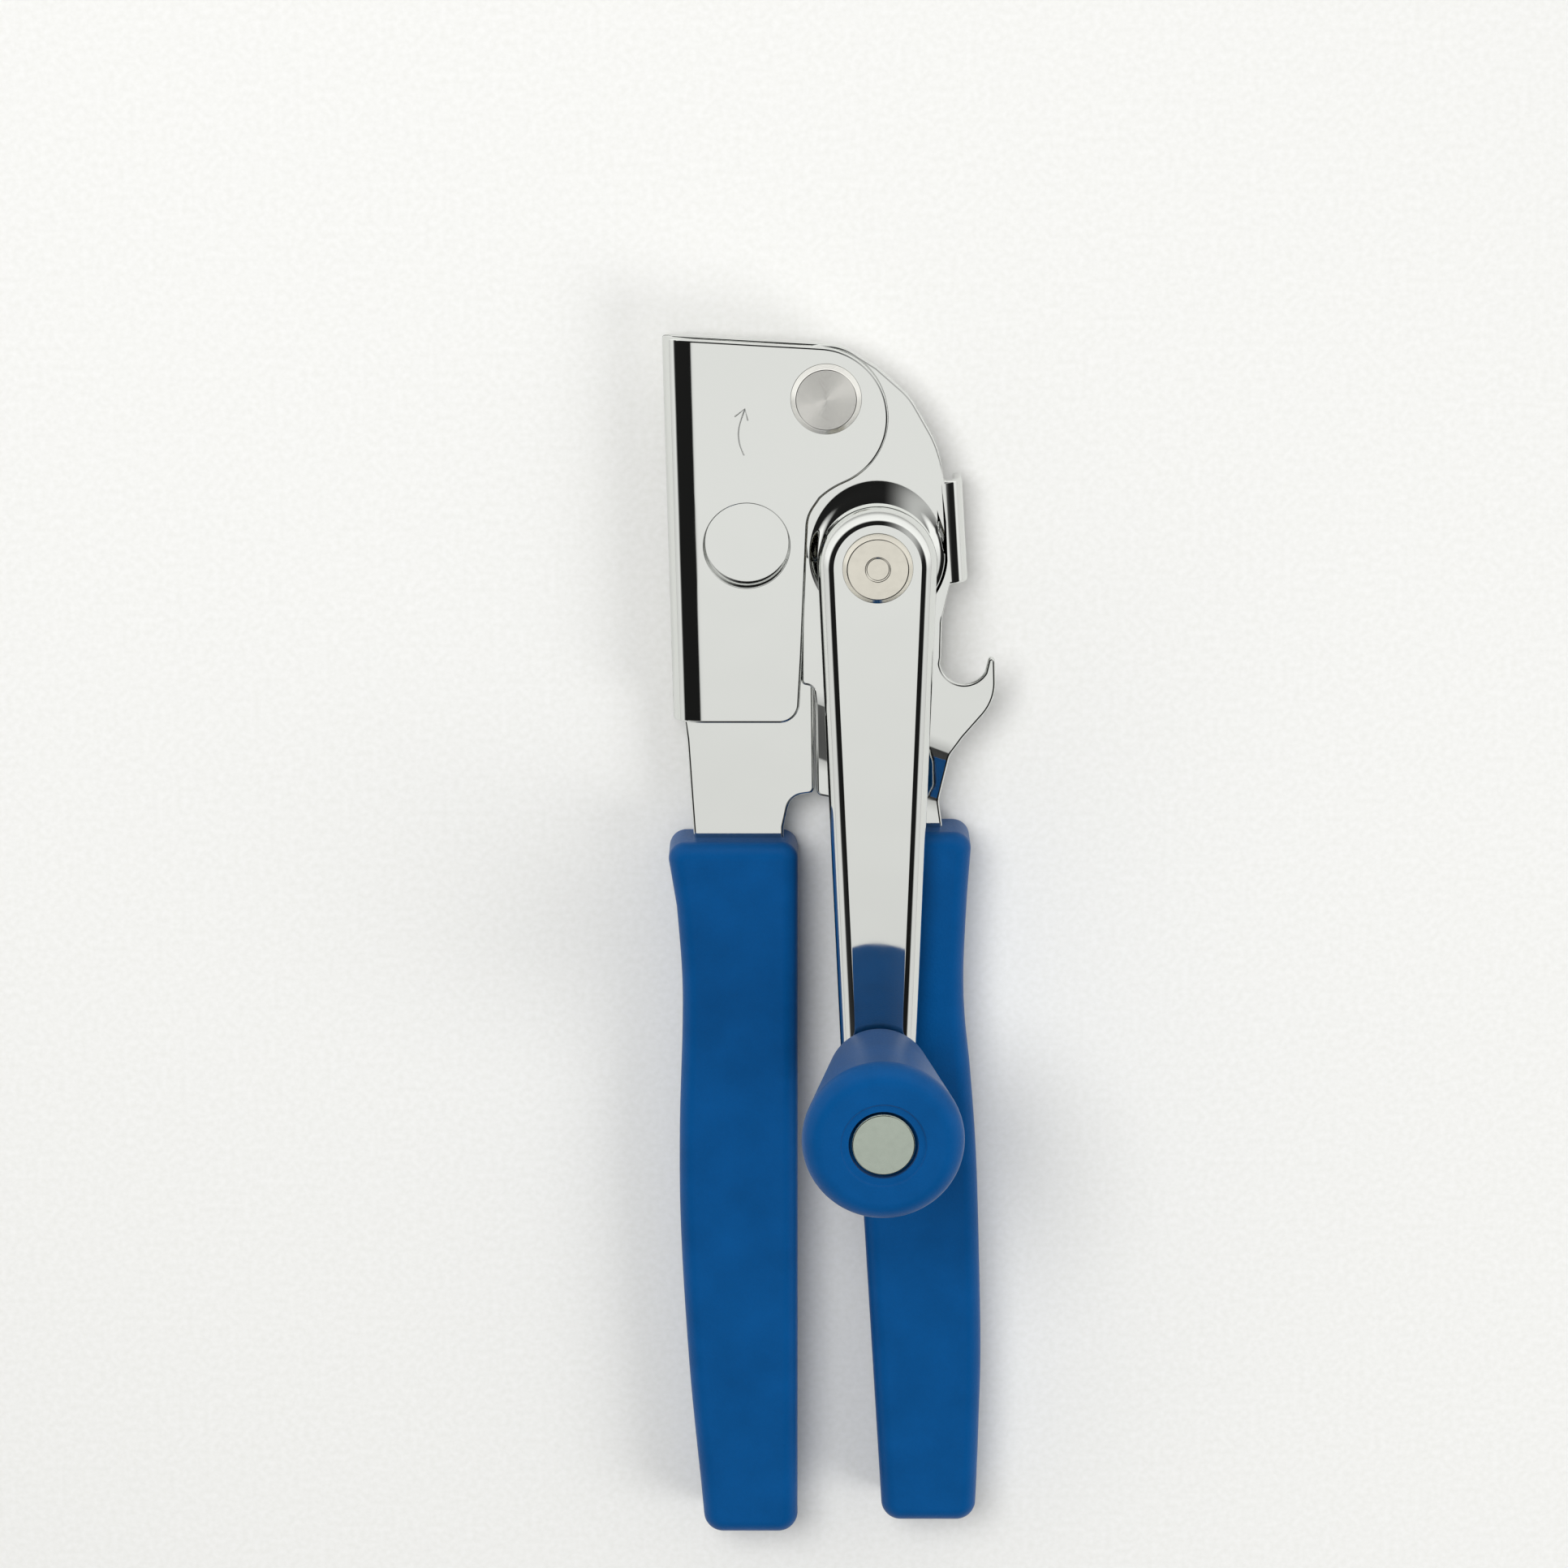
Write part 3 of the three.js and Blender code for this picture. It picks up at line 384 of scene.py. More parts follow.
def piece(name, mesh, finish, body, *stands_for, slot, wall=0.0, edge=0.0, edge_steps=3, sharp=38):
    """Finishes a mesh in millimetres, moves it into the frame, and hides the working pieces it stands
    for.
    """
    bmesh.ops.remove_doubles(mesh, verts=mesh.verts, dist=0.002)
    bmesh.ops.recalc_face_normals(mesh, faces=mesh.faces)
    if wall and max(mesh.faces, key=lambda f: f.calc_center_median().z).normal.z < 0:
        bmesh.ops.reverse_faces(mesh, faces=mesh.faces)
    for face in mesh.faces:
        face.smooth = True
    rough = bpy.data.objects.new(name + "_rough", bpy.data.meshes.new(name + "_rough"))
    mesh.to_mesh(rough.data)
    mesh.free()
    bpy.context.scene.collection.objects.link(rough)
    if wall:
        thicken = rough.modifiers.new("sheet", "SOLIDIFY")
        thicken.thickness, thicken.offset = wall, -1
    if edge:
        roll = rough.modifiers.new("rolled edge", "BEVEL")
        roll.width, roll.segments, roll.use_clamp_overlap = edge, edge_steps, False
        roll.limit_method, roll.angle_limit = "ANGLE", math.radians(sharp)
    rough.modifiers.new("even flats", "WEIGHTED_NORMAL")
    bpy.context.view_layer.update()
    finished = rough.evaluated_get(bpy.context.evaluated_depsgraph_get())
    shape = bpy.data.meshes.new_from_object(finished)
    bpy.data.objects.remove(rough)
    shape.transform(INTO_FRAME)
    shape.materials.clear()
    shape.materials.append(finish)
    made = bpy.data.objects.new(name, shape)
    bpy.context.scene.collection.objects.link(made)
    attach(made, body)
    if stands_for:
        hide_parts(*stands_for)
    print(name, "has", len(shape.polygons), "faces")
    return made


# %% [markdown]
# The left arm is a single sheet folded double. Its front leaf carries the cup over the cutting
# wheel, and its outer side rolls over and comes back as the rear leaf, which runs down into the grip.
# It could be two plates and a bar between them, but one sheet that is bent has no seams. Both
# outlines stop where the fold begins, and both have the same curved edge beside the rivet.

# %% Left arm outlines
HEAD_TOP, LEAF_BOTTOM = 10.5, -57.9
OUTER_SIDE, FOLD_SLANT = -28.3, math.radians(1.4)
EASY_ROLL, EASY_TURN = 7.4, math.radians(30)  # the sheet eases over before it folds
EASY_WIDTH = EASY_ROLL * math.sin(EASY_TURN)
TIGHT_ROLL, HEM_ROLL = 4.225, 1.75  # the fold itself, and the hem behind
TIGHT_WIDTH = TIGHT_ROLL * (1 - math.sin(EASY_TURN))
LOBE, LOBE_R = Vector((-1.6, -3.4)), 12.45  # round shoulder beside the rivet
TANG_END = -150


def fold_x(y, inside):
    """The leaning outer side, or a line as far inside it."""
    return OUTER_SIDE + inside - y * math.tan(FOLD_SLANT)


def head_edge(low_x):
    """The head's right side: round its shoulder, then hollow where it clears the shaft's seat."""
    to_shaft = SHAFT - LOBE
    meeting = math.degrees(math.atan2(to_shaft.y, to_shaft.x))
    shoulder = arc(LOBE, LOBE_R, 88, meeting)
    hollow = arc(SHAFT, to_shaft.length - LOBE_R, meeting + 180, meeting + 200)[1:]
    turn = rounded([hollow[-1], (low_x, SHAFT.y + 7.4, 7), (low_x - 0.6, -44)])
    return shoulder + hollow + turn[1:-1]


leaf_outline = [
    (fold_x(HEAD_TOP, TIGHT_WIDTH), HEAD_TOP), *head_edge(-3.1),
    *rounded([(-4.1, -46), (-4.75, LEAF_BOTTOM, 3.6),
              (fold_x(LEAF_BOTTOM, TIGHT_WIDTH), LEAF_BOTTOM)])]
tang_outline = [
    (fold_x(HEAD_TOP, HEM_ROLL), HEAD_TOP), *head_edge(-2.2),
    *rounded([(-2.2, -50), (-1.9, -71.8, 1.2), (-6.2, -72.4, 3.6), (-7.4, -78), (-7.4, TANG_END, 5),
              (-22.6, TANG_END, 5), (-22.6, -92, 20), (-23.7, -76), (-24.6, -62, 4),
              (fold_x(LEAF_BOTTOM, HEM_ROLL), LEAF_BOTTOM)])]
print("front leaf:", len(leaf_outline), "points; rear leaf and tang:", len(tang_outline))

# %% [markdown]
# The fold starts gently, as a press leaves it: the leaf's outer strip is cut by parallel planes and
# lowered along an arc. Then its edge is spun on round the fold, and the rear leaf's edge is spun
# forward to meet it. The cup is a spun wall with a flat disc for its floor.

# %% Left arm
BACK = level("left_arm", 0)
CUP_R, CUP_DEPTH, CUP_SOFT = 7.5, 3.0, 0.2  # the last is the radius of the cup's rim and corner
EASY_STEPS, FOLD_STEPS = 12, 14


def fold(mesh, square):
    """Spins the tight front of the fold from the leaf, and the hem from the rear leaf."""
    drop = EASY_ROLL * (1 - math.cos(EASY_TURN))
    for radius, inside, height, begin in (
            (TIGHT_ROLL, TIGHT_WIDTH, -drop, EASY_TURN), (HEM_ROLL, HEM_ROLL, BACK, math.pi)):
        ends = [Vector((fold_x(y, inside), y, height)) for y in (HEAD_TOP, LEAF_BOTTOM)]
        inward = square * math.sin(begin) - Vector((0, 0, math.cos(begin)))
        bend_edge(mesh, ends, ends[1] + radius * inward, math.pi / 2 - begin, FOLD_STEPS)


def left_arm():
    mesh = bmesh.new()
    cup_mouth = circle(CUTTER, CUP_R + CUP_SOFT)
    fill(mesh, [loop(mesh, leaf_outline), loop(mesh, cup_mouth), loop(mesh, RIVET_HOLE)])
    square = Vector((math.cos(FOLD_SLANT), math.sin(FOLD_SLANT), 0))  # across the fold, inwards
    start = Vector((fold_x(0, TIGHT_WIDTH + EASY_WIDTH), 0, 0)).dot(square)
    slice_across(mesh, square, [start - EASY_WIDTH * i / EASY_STEPS for i in range(EASY_STEPS)])
    for corner in mesh.verts:
        past = min(max(start - corner.co.dot(square), 0), EASY_WIDTH)
        corner.co.z -= EASY_ROLL - math.sqrt(EASY_ROLL ** 2 - past ** 2)
    spin_profile(mesh, CUTTER, [
        *arc((CUP_R + CUP_SOFT, -CUP_SOFT), CUP_SOFT, 90, 180),
        *arc((CUP_R - CUP_SOFT, CUP_SOFT - CUP_DEPTH), CUP_SOFT, 0, -90)])
    fill(mesh, [loop(mesh, circle(CUTTER, CUP_R - CUP_SOFT), -CUP_DEPTH)])
    fill(mesh, [loop(mesh, tang_outline, BACK), loop(mesh, RIVET_HOLE, BACK)])
    fold(mesh, square)
    for corner in mesh.verts:
        corner.co.y = min(corner.co.y, HEAD_TOP)
    return mesh


piece("left_arm_pressing", left_arm(), CHROME, "left_handle", "left_arm",
      slot="chrome_plate", wall=SHEET, edge=ROLLED)

# %% [markdown]
# A curved arrow is stamped into the leaf, to show which way the crank turns. It is only a tenth of a
# millimetre high. Curves with a round section draw it, and they are made a mesh before they are placed.

# %% Stamped arrow


def stamped_arrow(strokes, size=0.13):
    lines = bpy.data.curves.new("arrow_strokes", "CURVE")
    lines.dimensions, lines.use_fill_caps = "3D", True
    lines.bevel_depth, lines.bevel_resolution = size, 3
    for stroke in strokes:
        line = lines.splines.new("POLY")
        line.points.add(len(stroke) - 1)
        for point, (x, y) in zip(line.points, stroke):
            point.co = (x, y, 0.0, 1.0)
    drawn = bpy.data.objects.new("arrow_strokes", lines)
    bpy.context.scene.collection.objects.link(drawn)
    bpy.context.view_layer.update()
    mesh = bmesh.new()
    mesh.from_mesh(drawn.evaluated_get(bpy.context.evaluated_depsgraph_get()).to_mesh())
    bpy.data.objects.remove(drawn)
    return mesh


ARROW_TIP = (-14.1, -1.7)
piece("stamped_arrow", stamped_arrow([
    flowing([(-14.3, -9.9), (-15.1, -7.6), (-15.15, -5.0), ARROW_TIP]),
    [(-15.9, -3.1), ARROW_TIP, (-13.6, -3.8)]]), CHROME, "left_handle", slot="chrome_plate")

# %% [markdown]
# The right arm is one sheet as well. Round the shaft a seat is pressed up, one stretch of its outer
# side is bent back as a guide for the can's rim, the hook opens bottles, and lower down the sheet
# steps back on a slant to reach the level of the grip. It could be several plates joined, but a
# pressing has no joints, so one outline holds all of it as seen from the front.

# %% Right arm outline
ARM_FACE = -1.8
TAB_LENGTH, TAB_SLANT = 18.4, math.radians(3.7)
TAB_TOP, TAB_FOOT = (20.7, -14.8), (20.7 + TAB_LENGTH * math.sin(TAB_SLANT), -33.2)
THROAT, THROAT_R = (24.5, -46.9), 4.3
RIGHT_TANG_END = -148

right_outline = [
    *arc(PIVOT, 9.2, 200, 52),
    *rounded([(8.8, 5.3), (14.6, 0.2, 12), (19.6, -8.6, 20), TAB_TOP,
              TAB_FOOT, (20.5, -39.5, 8), (20.4, -46.4)]),
    *arc(THROAT, THROAT_R, 184, 330)[1:-1],
    *rounded([(28.22, -49.05), (28.85, -46.3, 0.7), (29.95, -46.6, 0.7), (30.2, -54.2, 9),
              (24.4, -61.0, 8), (22.1, -64.3, 4), (20.3, -73.2, 3), (21.0, -78, 3),
              (21.0, RIGHT_TANG_END, 3), (9.6, RIGHT_TANG_END, 3), (5.2, -77), (3.6, -73.2, 4),
              (-1.5, -72.2, 1.2), (-1.8, -54.9, 1.6), (-2.2, -51.6, 1.6), (-4.3, -51.3, 1),
              (-4.3, -19)])]
print("right arm outline:", len(right_outline), "points")

# %% [markdown]
# The flat sheet is shaped in the order of the press. The step is sliced by parallel planes and
# lowered along a smooth curve, with a soft bend at each end. The seat is a spun flank that is drawn
# out toward the head, where there is room for an easier slope, and it fits a hole of the same shape.
# The guide is the outline's own edge, spun a quarter turn and extruded.

# %% Right arm
STEP_SKEW, STEP_TOP, STEP_BOTTOM = math.radians(21), -51.9, -61.05
STEP_DEPTH, STEP_SOFT, STEP_CUTS = 3.0, 2.4, 26  # the second is half the length of each soft bend
SEAT_BASE, SEAT_TOP, SEAT_RISE, SEAT_HOLE = 12.0, 9.2, 1.4, 5.4
SEAT_STEPS, SEAT_DRAWN = 14, 0.6  # toward the head, the flank is this much wider
TAB_BEND, TAB_DEPTH, TAB_STEPS = 3.2, 8.0, 12


def soft_start(distance):
    """Nothing before a bend, the distance after it, and a smooth change between."""
    t = min(max((distance + STEP_SOFT) / (2 * STEP_SOFT), 0), 1)
    return STEP_SOFT * t * t if t < 1 else distance


def step_drop(along):
    """How far the step has lowered the sheet at a distance across its bend lines."""
    slope = STEP_DEPTH / (STEP_TOP - STEP_BOTTOM)
    return slope * (soft_start(STEP_TOP - along) - soft_start(STEP_BOTTOM - along))


def drawn_out(x, y):
    """Moves a point of the seat's flank outward, most of all toward the head."""
    away = Vector((x, y)) - SHAFT
    beyond = max(away.length - SEAT_TOP, 0) * SEAT_DRAWN * max(away.y / away.length, 0) ** 2
    return SHAFT + away * (1 + beyond / away.length)


def press_step(mesh):
    square = Vector((math.sin(STEP_SKEW), math.cos(STEP_SKEW), 0))
    span = STEP_TOP - STEP_BOTTOM + 2 * STEP_SOFT
    slice_across(mesh, square, [
        STEP_TOP + STEP_SOFT - span * i / STEP_CUTS for i in range(STEP_CUTS + 1)])
    bmesh.ops.remove_doubles(mesh, verts=mesh.verts, dist=0.04)
    for corner in mesh.verts:
        corner.co.z = ARM_FACE - step_drop(corner.co.dot(square))


def press_seat(mesh):
    flat = len(mesh.verts)
    flank = [i / SEAT_STEPS for i in range(SEAT_STEPS + 1)]
    spin_profile(mesh, SHAFT, [
        *[(SEAT_BASE + (SEAT_TOP - SEAT_BASE) * t, ARM_FACE + SEAT_RISE * t * t * (3 - 2 * t))
          for t in flank], (SEAT_HOLE, ARM_FACE + SEAT_RISE)])
    mesh.verts.ensure_lookup_table()
    for corner in mesh.verts[flat:]:
        corner.co.xy = drawn_out(*corner.co.xy)


def bend_tab(mesh):
    bent = bend_edge(mesh, [(*TAB_TOP, ARM_FACE), (*TAB_FOOT, ARM_FACE)],
                     (*TAB_TOP, ARM_FACE - TAB_BEND), -math.pi / 2, TAB_STEPS)
    edges = [g for g in bent if isinstance(g, bmesh.types.BMEdge)]
    skirt = bmesh.ops.extrude_edge_only(mesh, edges=edges)["geom"]
    bmesh.ops.translate(mesh, vec=(0, 0, TAB_BEND - TAB_DEPTH),
                        verts=[g for g in skirt if isinstance(g, bmesh.types.BMVert)])


def right_arm():
    mesh = bmesh.new()
    seat = [drawn_out(x, y) for x, y in circle(SHAFT, SEAT_BASE)]
    fill(mesh, [loop(mesh, right_outline), loop(mesh, seat), loop(mesh, RIVET_HOLE)])
    press_step(mesh)
    press_seat(mesh)
    bend_tab(mesh)
    return mesh


piece("right_arm_pressing", right_arm(), CHROME, "right_handle", "right_arm",
      slot="chrome_plate", wall=SHEET, edge=ROLLED)

# %% [markdown]
# The crank is a long shallow pan with its edge turned down all round: a wide end on the shaft and a
# narrow end under the knob. A pan is a prism with a rounded top rim and no floor, so the belt-shaped
# outline is extruded, its top edge bevelled round, and the bottom face taken away.

# %% Crank
CRANK_FACE, CRANK_DEPTH, CRANK_SHEET, CRANK_ROLL = level("crank_arm", 1), 6.0, 1.5, 2.9
CRANK_HUB, CRANK_TIP = 10.4, 6.6  # radii of the wide and the narrow end


def crank():
    mesh = bmesh.new()
    foot = CRANK_FACE - CRANK_DEPTH
    fill(mesh, [loop(mesh, belt(SHAFT, CRANK_HUB, KNOB, CRANK_TIP), foot)], border=0)
    raised = bmesh.ops.extrude_face_region(mesh, geom=mesh.faces[:])["geom"]
    bmesh.ops.translate(mesh, vec=(0, 0, CRANK_DEPTH),
                        verts=[g for g in raised if isinstance(g, bmesh.types.BMVert)])
    floor = [f for f in mesh.faces if f.calc_center_median().z < foot + 0.1]
    bmesh.ops.delete(mesh, geom=floor, context="FACES")
    rim = [e for e in mesh.edges if all(abs(v.co.z - CRANK_FACE) < 1e-4 for v in e.verts)]
    bmesh.ops.bevel(mesh, geom=rim, offset=CRANK_ROLL, offset_type="OFFSET", segments=12, profile=0.4,
                    affect="EDGES", clamp_overlap=False, material=-1)
    return mesh


piece("crank_pressing", crank(), CHROME, "crank", "crank_arm", slot="chrome_plate",
      wall=CRANK_SHEET, edge=0.35, sharp=50)

# %% [markdown]
# Each grip is a plain moulding with generous round edges and one waisted side, where the fingers
# lie. It is drawn in plan, extruded to the thickness of the working grip, and its edges rounded.

# %% Grips
GRIP_FRONT, GRIP_BACK = 0.9, level("left_grip", 0)
LEFT_ENDS, LEFT_INNER = (-80.0, -211.65), -4.8  # the top and bottom of a grip, and its straight side
RIGHT_ENDS, RIGHT_INNER = (-78.1, -209.3), 2.7
RIGHT_LEAN = math.tan(math.radians(3.56))
TOP_CORNER, END_CORNER, GRIP_ROUND = 3, 3.6, 2.9


def along_grip(ends, points):
    """Each point is (x, share of the way down the grip)."""
    return flowing([(x, ends[0] + share * (ends[1] - ends[0])) for x, share in points])


left_grip_outline = rounded([
    (LEFT_INNER, LEFT_ENDS[0], TOP_CORNER), (-28.4, LEFT_ENDS[0], TOP_CORNER),
    *along_grip(LEFT_ENDS, [(-26.5, 0.09), (-25.65, 0.18), (-25.6, 0.26), (-26.2, 0.41),
                            (-26.05, 0.56), (-24.6, 0.76), (-22.6, 0.93)]),
    (-21.8, LEFT_ENDS[1], END_CORNER), (LEFT_INNER, LEFT_ENDS[1], END_CORNER)])
right_grip_outline = rounded([
    (RIGHT_INNER, RIGHT_ENDS[0], TOP_CORNER),
    (RIGHT_INNER + (RIGHT_ENDS[0] - RIGHT_ENDS[1]) * RIGHT_LEAN, RIGHT_ENDS[1], END_CORNER),
    (27.9, RIGHT_ENDS[1], END_CORNER),
    *along_grip(RIGHT_ENDS, [(28.2, 0.94), (28.5, 0.85), (28.7, 0.75), (28.3, 0.62), (27.5, 0.46),
                             (26.3, 0.34), (25.2, 0.26), (24.9, 0.19), (25.4, 0.09)]),
    (26.2, RIGHT_ENDS[0], TOP_CORNER)])


def moulding(outline):
    mesh = bmesh.new()
    fill(mesh, [loop(mesh, outline, GRIP_BACK)], border=0)
    raised = bmesh.ops.extrude_face_region(mesh, geom=mesh.faces[:])["geom"]
    bmesh.ops.translate(mesh, vec=(0, 0, GRIP_FRONT - GRIP_BACK),
                        verts=[g for g in raised if isinstance(g, bmesh.types.BMVert)])
    rims = [e for e in mesh.edges if len(e.link_faces) == 2 and e.calc_face_angle() > 1.2]
    bmesh.ops.bevel(mesh, geom=rims, offset=GRIP_ROUND, offset_type="OFFSET", segments=10,
                    profile=0.5, affect="EDGES", clamp_overlap=False, material=-1)
    return mesh


piece("left_grip_moulding", moulding(left_grip_outline), PLASTIC, "left_handle", "left_grip",
      slot="blue_plastic")
piece("right_grip_moulding", moulding(right_grip_outline), PLASTIC, "right_handle", "right_grip",
      slot="blue_plastic")

# %% [markdown]
# Rivets, shaft, wheel, washers and knob are all turned shapes: half a section, spun about its own
# axis. Each section is a short list of radii and heights, and a narrow bevel breaks its corners.

# %% Turned pieces


def turned(name, axis, profile, finish, body, *stands_for, slot, edge=0.12, steps=96):
    mesh = bmesh.new()
    spin_profile(mesh, axis, profile, steps)
    return piece(name, mesh, finish, body, *stands_for, slot=slot, edge=edge, edge_steps=3, sharp=25)


def closed(*section):
    """A ring's section, closed on itself."""
    return [*section, section[0]]


tail = level("pivot_rivet", 0)
turned("pivot_rivet_turned", PIVOT, [
    (0, tail), (4.8, tail), (5.6, tail + 0.8), (5.6, tail + 1.2), (4.0, tail + 1.2), (4.0, 0.02),
    (6.2, 0.02), (6.2, 0.3), (5.35, 1.15), (5.2, 1.2), (0, 1.2)],
    TURNED_RIVET, "left_handle", "pivot_rivet", slot="satin_steel")

# %% [markdown]
# The knob is a cone of plastic, bored through, that turns on a pin. The pin's flat head sits in a
# pocket at the top and holds the knob on, and its other end has a flange under the crank. The
# knob's ends are arcs that meet the cone at its own slope, so light runs over them without a step.

# %% Knob
KNOB_FOOT, KNOB_TOP = level("knob", 0), level("knob", 1)
KNOB_SMALL, KNOB_LARGE, KNOB_LONG = 9.2, 13.9, 39.0
FOOT_ROUND, TOP_ROUND = 1.2, 3.6
KNOB_BORE, POCKET_R, POCKET = 3.35, 5.95, 2.0
PIN_R, PIN_HEAD = 3.2, 5.56
FLARE = math.degrees(math.atan2(KNOB_LARGE - KNOB_SMALL, KNOB_LONG))
turned("knob_moulding", KNOB, closed(
    (KNOB_BORE, KNOB_FOOT),
    *arc((KNOB_SMALL - FOOT_ROUND, KNOB_FOOT + FOOT_ROUND), FOOT_ROUND, -90, -FLARE),
    *arc((KNOB_LARGE - TOP_ROUND, KNOB_TOP - TOP_ROUND), TOP_ROUND, -FLARE, 90),
    (7.4, KNOB_TOP), (7.1, KNOB_TOP - 0.4), (POCKET_R, KNOB_TOP - 0.4),
    (POCKET_R, KNOB_TOP - POCKET), (KNOB_BORE, KNOB_TOP - POCKET)),
    PLASTIC, "knob_body", "knob", slot="blue_plastic", edge=0.1)
crank_back, pin_top = CRANK_FACE - CRANK_SHEET, KNOB_TOP - 0.5
turned("knob_pin_turned", KNOB, [
    (0, crank_back - 1.2), (3.9, crank_back - 1.2), (4.4, crank_back - 0.7), (4.4, crank_back),
    (PIN_R, crank_back), (PIN_R, pin_top - 1.4), (PIN_HEAD, pin_top - 1.4), (PIN_HEAD, pin_top - 0.3),
    (PIN_HEAD - 0.3, pin_top), (0, pin_top)],
    TURNED_PIN, "crank", "knob_pin", slot="zinc_steel")

# %% [markdown]
# The crank turns a shaft with a formed head, a collar and a square tail. Two toothed wheels and a
# nut sit on that tail, and one more gear is on the cutting wheel. Teeth and flats must mesh and fit,
# so their shapes are taken from the working model and only their edges are broken, while the round
# part of the shaft is turned afresh.

# %% Round pieces of the drive
collar, head = crank_back, CRANK_FACE + 0.02
turned("crank_shaft_turned", SHAFT, [
    (0, -6.9), (3.6, -6.9), (3.6, 1.5), (6.0, 1.5), (6.0, collar), (4.2, collar), (4.2, head),
    (6.15, head), (6.15, head + 0.4), (5.4, head + 1.15), (5.2, head + 1.2), (2.15, head + 1.2),
    (1.95, head + 1.0), (0, head + 1.0)],
    NICKEL, "crank", slot="nickel_steel")


def broken_edges(name, node, finish, body, slot, edge=0.15, top=None):
    """A working piece again, or its part under a height, merged and with its edges broken."""
    mesh = bmesh.new()
    mesh.from_mesh(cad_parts[node].data)
    mesh.transform(INTO_FRAME.inverted())
    bmesh.ops.remove_doubles(mesh, verts=mesh.verts, dist=0.002)
    bmesh.ops.dissolve_limit(mesh, angle_limit=math.radians(2), use_dissolve_boundaries=False,
                             verts=mesh.verts, edges=mesh.edges)
    if top is not None:
        cut = bmesh.ops.bisect_plane(
            mesh, geom=mesh.verts[:] + mesh.edges[:] + mesh.faces[:], dist=1e-4,
            plane_co=(0, 0, top), plane_no=(0, 0, 1), clear_outer=True)["geom_cut"]
        bmesh.ops.contextual_create(mesh, geom=[g for g in cut if isinstance(g, bmesh.types.BMEdge)])
    return piece(name, mesh, finish, body, node, slot=slot, edge=edge, edge_steps=2, sharp=25)


broken_edges("crank_shaft_square", "crank_shaft", NICKEL, "crank", "nickel_steel", top=-7.0)
broken_edges("cutter_gear_stamping", "cutter_gear", HARD_STEEL, "cutter", "hard_steel", 0.2)
broken_edges("drive_gear_stamping", "drive_gear", HARD_STEEL, "crank", "hard_steel", 0.2)
broken_edges("feed_wheel_knurled", "feed_wheel", HARD_STEEL, "crank", "hard_steel", 0.1)
broken_edges("feed_retainer_nut", "feed_retainer", ZINC, "crank", "zinc_steel")
broken_edges("feed_spacer_ring", "feed_spacer", ZINC, "crank", "zinc_steel", 0.1)

# %% [markdown]
# Behind the arms are plain round parts: spacers and washers that keep the arms and gears apart, the
# stud that the cutting wheel turns on, the wheel with its ground bevel, a brass bushing for the
# shaft and a dished spring washer. One more washer lies under the knob. All their heights come from
# the working model.

# %% Round pieces behind the arms


def ring(name, axis, node, inner, outer, finish, body, slot):
    low, high = level(node, 0), level(node, 1)
    return turned(name, axis, closed((inner, low), (outer, low), (outer, high), (inner, high)),
                  finish, body, node, slot=slot, edge=0.12)


ring("pivot_spacer_ring", PIVOT, "pivot_spacer", 4.15, 7.5, ZINC, "left_handle", "zinc_steel")
ring("pivot_washer_ring", PIVOT, "pivot_washer", 4.15, 6.6, ZINC, "left_handle", "zinc_steel")
ring("cutter_spacer_ring", CUTTER, "cutter_spacer", 3.35, 6.0, ZINC, "left_handle", "zinc_steel")
ring("knob_washer_ring", KNOB, "knob_washer", 3.35, 6.0, ZINC, "crank", "zinc_steel")
stud = level("cutter_stud", 0)
turned("cutter_stud_turned", CUTTER, [
    (0, stud), (4.8, stud), (5.4, stud + 0.6), (5.4, stud + 1.0), (3.2, stud + 1.0), (3.2, -4.62),
    (0, -4.62)],
    TURNED_CUTTER, "left_handle", "cutter_stud", slot="satin_steel")
blade, blade_top = level("cutter_wheel", 0), level("cutter_wheel", 1)
turned("cutter_wheel_ground", CUTTER, closed(
    (3.35, blade), (12.9, blade), (13.0, blade + 0.15), (10.4, blade_top), (3.35, blade_top)),
    TURNED_CUTTER, "cutter", "cutter_wheel", slot="satin_steel", edge=0.05, steps=128)
bush_low, bush_top = level("shaft_bushing", 0), level("shaft_bushing", 1)
turned("shaft_bushing_turned", SHAFT, closed(
    (3.75, bush_low), (5.1, bush_low), (5.1, bush_top - 0.6), (7.2, bush_top - 0.6), (7.2, bush_top),
    (3.75, bush_top)), BRASS, "right_handle", "shaft_bushing", slot="brass_bush")
spring_low, spring_top = level("spring_washer", 0), level("spring_washer", 1)
turned("spring_washer_cone", SHAFT, closed(
    (3.75, spring_top - 0.4), (6.6, spring_low), (6.6, spring_low + 0.4), (3.75, spring_top)),
    HARD_STEEL, "crank", "spring_washer", slot="hard_steel")

# %% [markdown]
# The opener lies on a plain pale table. It is part of the stage, not of the opener. A faint fibre
# in its colour keeps it from looking like an empty screen.

# %% Table
bpy.ops.mesh.primitive_plane_add(size=6.0, location=(0, 0, working_low.z - 0.0002))
table = bpy.context.object
table.name = "table"


def table_top():
    made, place = start_finish("table_top")
    fibre = place.node("ShaderNodeTexNoise", {}, {"Vector": place, "Scale": 900.0, "Detail": 3.0})
    shade = place.node("ShaderNodeValToRGB", {"stops": [
        (0.3, tone(232, 232, 229)), (0.7, tone(238, 238, 236))]}, {"Fac": fibre})
    return end_finish(made, place, {"Base Color": shade, "Roughness": 0.8})


table.data.materials.append(table_top())
print("table at", round(table.location.z * 1000, 2), "mm")

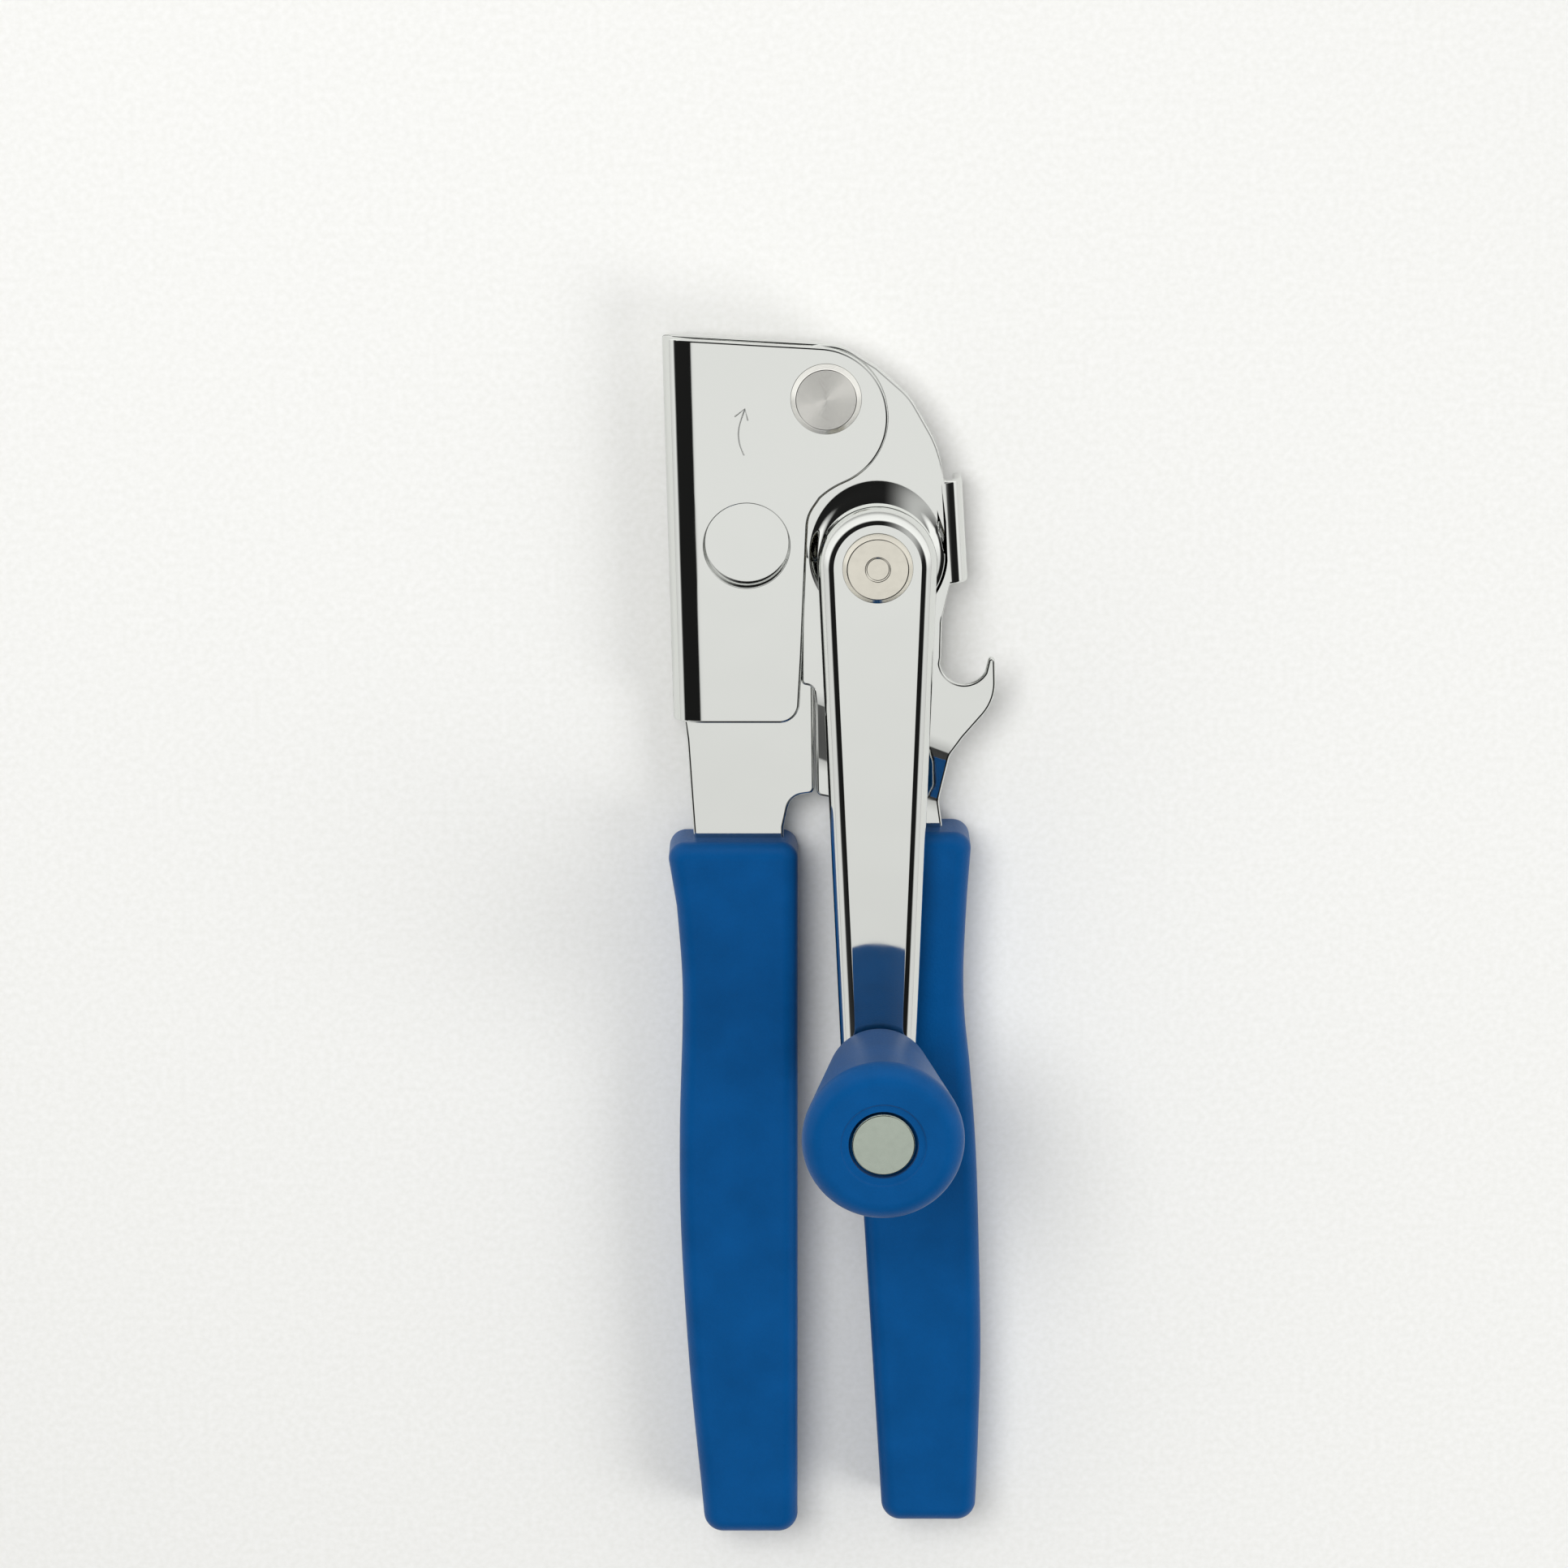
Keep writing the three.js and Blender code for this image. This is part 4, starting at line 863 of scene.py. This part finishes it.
# %% [markdown]
# Chrome shows nothing but its surroundings, so the studio matters more than the lamps. A white panel
# above fills the flat steel, a dark band round it draws black lines along every bend and rolled edge,
# and pale walls below light the edges again. Two soft windows in opposite corners break the dark
# band, and everything is a little brighter toward the head. All of it depends on direction alone,
# and the angle from the panel's middle drives a ramp.

# %% Studio surroundings
PANEL_TIP = math.radians(15)  # the panel leans a little toward the grips
STUDIO = (  # angle from the panel's middle as a share of a half turn, and brightness
    (0.0, 0.88), (0.045, 0.87), (0.07, 0.80), (0.09, 0.012), (0.33, 0.015), (0.37, 1.1), (0.5, 1.0),
    (0.56, 0.5))
WINDOW = 0.55  # brightness of the windows


def surroundings():
    world = bpy.data.worlds.new("studio")
    bpy.context.scene.world = world
    world.use_nodes = True
    world.node_tree.nodes.clear()
    here = Socket(world.node_tree)
    direction = here.node("ShaderNodeTexCoord", output="Generated")
    up, across, along = (
        here.node("ShaderNodeVectorMath", {"operation": "DOT_PRODUCT"},
                  {0: direction, 1: axis}, output="Value")
        for axis in ((0, -math.sin(PANEL_TIP), math.cos(PANEL_TIP)), (1, 0, 0),
                     (0, math.cos(PANEL_TIP), math.sin(PANEL_TIP))))
    angle = here.math("ARCCOSINE", up) * (1 / math.pi)
    glow = here.node("ShaderNodeValToRGB", {"stops": [
        (share, (light, light, light, 1)) for share, light in STUDIO]}, {"Fac": angle})
    corner = 2 * across * along / (across * across + along * along + 0.001)
    windows = WINDOW * here.math("MAXIMUM", corner, 0.0) ** 3.0
    fall = here.math("MINIMUM", here.math("MAXIMUM", 1.02 + 1.3 * along, 0.8), 1.12)
    light = here.node("ShaderNodeBackground", {}, {
        "Color": (1.0, 0.995, 0.98, 1), "Strength": fall * here.math("MAXIMUM", glow, windows)})
    here.node("ShaderNodeOutputWorld", {}, {"Surface": light}, output=None)


surroundings()


def soft_lamp(name, place, aim, size, watts):
    lamp = bpy.data.objects.new(name, bpy.data.lights.new(name, "AREA"))
    lamp.data.shape, lamp.data.size, lamp.data.energy = "DISK", size, watts
    lamp.location = place
    lamp.rotation_euler = (Vector(aim) - Vector(place)).to_track_quat("-Z", "Y").to_euler()
    lamp.visible_glossy = False
    bpy.context.scene.collection.objects.link(lamp)
    print(name, "at", place)


soft_lamp("overhead panel", (-0.25, 0.35, 0.95), (0, 0, 0), 0.6, 7.0)
soft_lamp("side panel", (0.7, -0.3, 0.6), (0, 0, 0), 0.5, 3.0)

# %% [markdown]
# The opener is looked at almost from above, with a long lens, from a little beyond its head. The
# colours are kept as they are measured, so the plain view transform is used, not the filmic one.

# %% Camera
bpy.context.scene.view_settings.view_transform = "Standard"
AIM = INTO_FRAME @ Vector((-7.318, -68.903, 0))  # the middle of the view
VIEW_TIP, DISTANCE, SENSOR, LENS = math.radians(14), 0.820, 36, 106.2
camera = bpy.data.objects.new("camera", bpy.data.cameras.new("camera"))
camera.data.sensor_width, camera.data.lens = SENSOR, LENS
camera.location = AIM + DISTANCE * Vector((0, math.sin(VIEW_TIP), math.cos(VIEW_TIP)))
camera.rotation_euler = (-VIEW_TIP, 0, 0)
bpy.context.scene.collection.objects.link(camera)
bpy.context.scene.camera = camera
print("camera", [round(v, 4) for v in camera.location], "looks at", [round(v, 4) for v in AIM])
